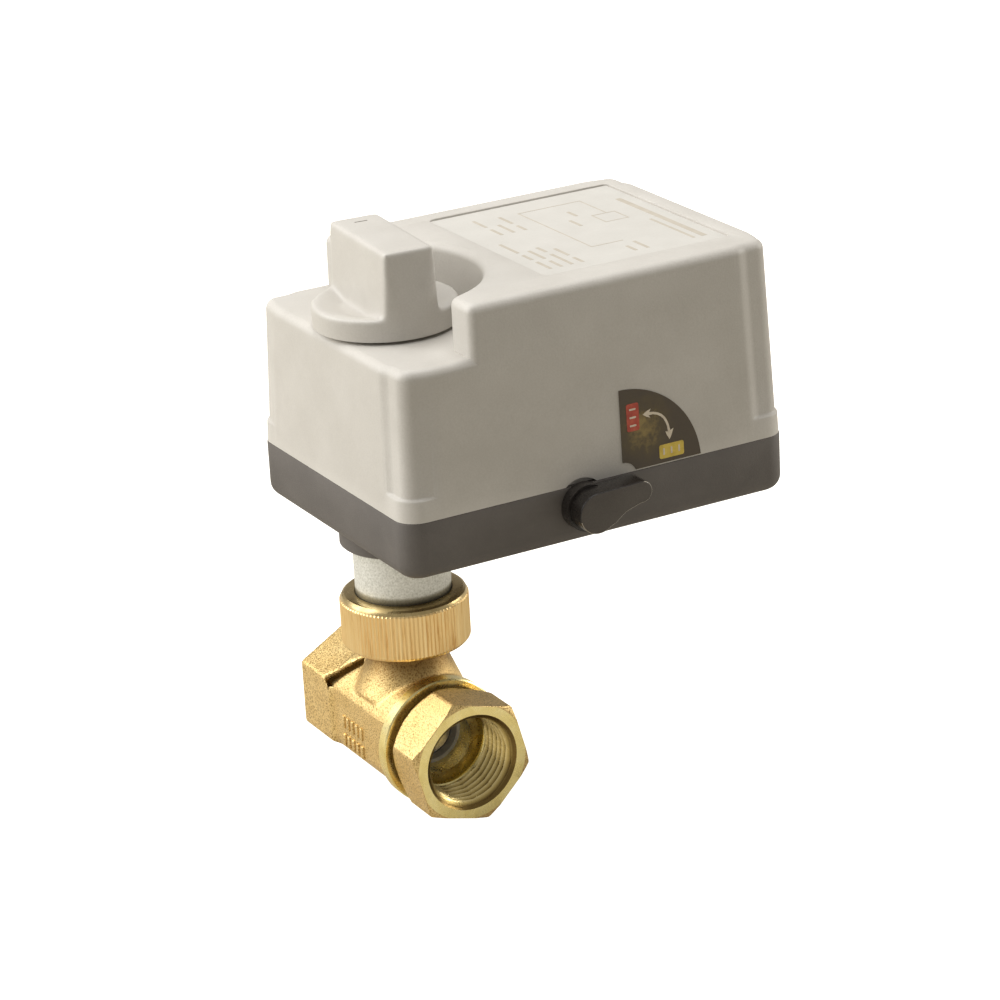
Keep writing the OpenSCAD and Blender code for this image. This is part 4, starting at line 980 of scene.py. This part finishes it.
def arrow_outline():
    """A band bent round a quarter, barbed at both ends."""
    path = [Vector(p) for p in ((43.2, 11.9), (44.4, 11.85), (45.5, 11.5), (46.4, 10.95),
                                (47.1, 10.2), (47.6, 9.3), (47.95, 8.3), (48.15, 7.1))]
    left, right = [], []
    for k, here in enumerate(path):
        along = path[min(k + 1, len(path) - 1)] - path[max(k - 1, 0)]
        across = Vector((-along.y, along.x)).normalized() * 0.26
        left.append(here + across)
        right.append(here - across)
    outer = [(41.86, 12.0), (42.8, 12.55), (43.95, 12.95), (43.5, 12.25)]
    lower = [(48.45, 7.15), (49.25, 7.5), (48.85, 6.4), (48.2, 5.15), (47.6, 6.2), (47.25, 7.1),
             (47.85, 7.0)]
    inner = [(43.3, 11.55), (43.7, 10.95), (42.7, 11.4)]
    return [tuple(p) for p in outer + left[1:-1] + lower + right[-2:0:-1] + inner][::-1]


def worn_ground():
    """Dark olive print, rubbed back to its gold underlay in one place below the arrow."""
    finish, nodes, links, skin, where = new_finish("label_ground")
    away = nodes.new("ShaderNodeVectorMath")
    away.operation = "DISTANCE"
    away.inputs[1].default_value = on_label(42, 9, PRINT_BACK)
    links.new(where, away.inputs[0])
    worn = spread(nodes, links, away.outputs["Value"], 1, 0.25, 0.001, 0.008)
    rub = nodes.new("ShaderNodeMath")
    rub.operation = "MULTIPLY"
    links.new(worn, rub.inputs[0])
    links.new(noise(nodes, links, where, 2.4, 5, 0.65), rub.inputs[1])
    links.new(ramp(nodes, links, rub.outputs["Value"],
                   [(0.12, (0.072, 0.054, 0.034)), (0.32, (0.096, 0.070, 0.030)),
                    (0.54, (0.27, 0.195, 0.065))]), skin.inputs["Base Color"])
    grain = noise(nodes, links, where, 0.4, 3)
    links.new(spread(nodes, links, grain, 0.35, 0.55), skin.inputs["Roughness"])
    links.new(bump(nodes, links, grain, 0.006), skin.inputs["Normal"])
    return finish


label_ground = worn_ground()
label_red = plain_finish("label_red", (0.38, 0.05, 0.03), (0.48, 0.07, 0.04), (0.56, 0.11, 0.06),
                         (0.35, 0.5), 0.4, 0.004, blotch_mm=1.5)
label_yellow = plain_finish("label_yellow", (0.56, 0.40, 0.06), (0.68, 0.50, 0.08), (0.76, 0.58, 0.13),
                            (0.35, 0.5), 0.4, 0.004, blotch_mm=1.5)
label_cream = plain_finish("label_cream", (0.60, 0.52, 0.40), (0.70, 0.61, 0.48), (0.76, 0.68, 0.55),
                           (0.4, 0.55), 0.4, 0.004, blotch_mm=1.5)
dress(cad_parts["mode_label"], label_ground)
printed("manual_field", field((37.9, 8.9), (40.95, 15.0)), label_red)
printed("automatic_field", field((45.5, 1.2), (51.6, 4.3)), label_yellow)
printed("mode_arrow", arrow_outline(), label_cream)
for k, low_up in enumerate((9.8, 11.6, 13.4)):
    printed(f"manual_mark_{k}", field((38.6, low_up + 0.1), (40.2, low_up + 0.5), 0.15), label_cream, 0.03)
for k, low_x in enumerate((46.3, 48.2, 50.1)):
    printed(f"automatic_mark_{k}", field((low_x + 0.1, 2.0), (low_x + 0.5, 3.5), 0.15), label_cream, 0.03)


# ---------- top label ----------
# A pale printed film in the cover's shallow recess. Its print is only faint rules and
# dashes here.

film = plain_finish("label_film", (0.57, 0.55, 0.505), (0.59, 0.57, 0.525), (0.61, 0.59, 0.545),
                    (0.35, 0.5), 0.6, 0.006, blotch_mm=7)
dress(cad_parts["top_label"], film)
FILM_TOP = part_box("top_label")[1].z / MM
rules = [(66.8, -20, 68.2, 16), (64.6, -20, 65.3, -2), (44, -12, 52, -11.7), (44, -11.7, 44.3, 19.7),
         (44, 19.7, 60, 20), (59.7, 8.3, 60, 19.7), (56, 2, 62, 2.3), (56, 8, 62, 8.3),
         (56, 2.3, 56.3, 8), (61.7, 2.3, 62, 8)]
rules += [(x, y, x + 0.8, y + length) for x, y, length in (
    (29, -20, 6), (29, -12, 4), (29, -6, 8), (31.6, -20, 5), (31.6, -13, 7), (34.2, -20, 9),
    (34.2, -9, 4), (36.8, -20, 4), (36.8, -14, 6), (33, 8, 5), (33, 15, 6), (36, 8, 7), (39, 8, 4),
    (39, 14, 6), (50, -20, 4), (53, -20, 6), (50, 3, 5), (53, 10, 4))]
label_print = block("label_print", (66.8, -20, FILM_TOP - 0.02), (68.2, 16, FILM_TOP + 0.03))
for low_x, low_y, high_x, high_y in rules[1:]:
    bar = block("print_bar", (low_x, low_y, FILM_TOP - 0.02), (high_x, high_y, FILM_TOP + 0.03))
    only(label_print)
    bar.select_set(True)
    bpy.ops.object.join()
print_ink = plain_finish("print_ink", (0.46, 0.415, 0.34), (0.49, 0.445, 0.37), (0.52, 0.475, 0.40),
                         (0.4, 0.6), 0.5, 0.004, blotch_mm=2)
dress(label_print, print_ink)
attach(label_print, "housing")
dress(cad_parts["cable_grommet"], seal_rubber)


# ---------- camera, lights and floor ----------
# A pale floor, one large soft light high on the left, one above, a weak one on the right, and a white world.

camera_data = bpy.data.cameras.new("camera")
camera_data.lens, camera_data.sensor_width = 129.09, 36
camera_data.shift_x, camera_data.shift_y = -0.0103, -0.0178
camera_data.clip_start, camera_data.clip_end = 0.05, 30
camera = bpy.data.objects.new("camera", camera_data)
bpy.context.scene.collection.objects.link(camera)
turn, rise, roll = -0.4971846, 0.3598060, 0.0533385
aside = Vector((math.cos(turn), math.sin(turn), 0))
back = Vector((math.sin(turn) * math.cos(rise), -math.cos(turn) * math.cos(rise), math.sin(rise)))
upward = back.cross(aside)
side_axis = aside * math.cos(roll) - upward * math.sin(roll)
up_axis = aside * math.sin(roll) + upward * math.cos(roll)
camera.matrix_world = Matrix.Translation(Vector((-323.5, -647.4, 326.7)) * MM) @ Matrix(
    (side_axis, up_axis, back)).transposed().to_4x4()
bpy.context.scene.camera = camera


def soft_light(name, place, target, size, power, colour):
    data = bpy.data.lights.new(name, "AREA")
    data.shape, data.size, data.energy, data.color = "DISK", size, power, colour
    lamp = bpy.data.objects.new(name, data)
    lamp.location = place
    lamp.rotation_euler = (Vector(target) - Vector(place)).to_track_quat("-Z", "Y").to_euler()
    bpy.context.scene.collection.objects.link(lamp)


middle = (0.03, 0, 0.06)
soft_light("key", (-0.9, 0.48, 0.74), middle, 1.4, 18.8, (1.0, 0.995, 0.985))
soft_light("top", (0.1, 0.15, 1.2), middle, 0.8, 8.8, (1.0, 0.99, 0.98))
soft_light("rim", (1.0, -0.2, 0.35), middle, 0.5, 4, (1.0, 0.97, 0.92))

world = bpy.data.worlds.new("studio")
bpy.context.scene.world = world
world.use_nodes = True
sky_nodes, sky_links = world.node_tree.nodes, world.node_tree.links
sky_nodes["Background"].inputs["Color"].default_value = (1.0, 0.97, 0.92, 1)


def by_ray(nodes, links, seen, mirrored, other):
    """One value for what the camera sees, one for reflections and one for all other light."""
    ray = nodes.new("ShaderNodeLightPath")
    total = nodes.new("ShaderNodeMath")
    total.operation = "ADD"
    links.new(spread(nodes, links, ray.outputs["Is Camera Ray"], other, seen, 0, 1), total.inputs[0])
    links.new(spread(nodes, links, ray.outputs["Is Glossy Ray"], 0, mirrored - other, 0, 1), total.inputs[1])
    return total.outputs["Value"]


sky_links.new(by_ray(sky_nodes, sky_links, 1.1, 0.38, 0.27), sky_nodes["Background"].inputs["Strength"])

bpy.ops.object.select_all(action="DESELECT")
bpy.ops.mesh.primitive_plane_add(size=12, location=(0, 0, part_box("valve_body")[0].z - 0.0005))
floor = settled("floor")
floor_finish = bpy.data.materials.new("floor_white")
floor_finish.use_nodes = True
floor_skin = floor_finish.node_tree.nodes["Principled BSDF"]
floor_skin.inputs["Roughness"].default_value = 0.9
floor_skin.inputs["Specular IOR Level"].default_value = 0.1
floor_skin.inputs["Base Color"].default_value = (0.48, 0.445, 0.37, 1)
floor_skin.inputs["Emission Color"].default_value = (1, 1, 1, 1)
floor_nodes, floor_links = floor_finish.node_tree.nodes, floor_finish.node_tree.links
floor_links.new(by_ray(floor_nodes, floor_links, 1.1, 0.12, 0), floor_skin.inputs["Emission Strength"])
floor.data.materials.append(floor_finish)

bpy.context.scene.view_settings.view_transform = "Standard"
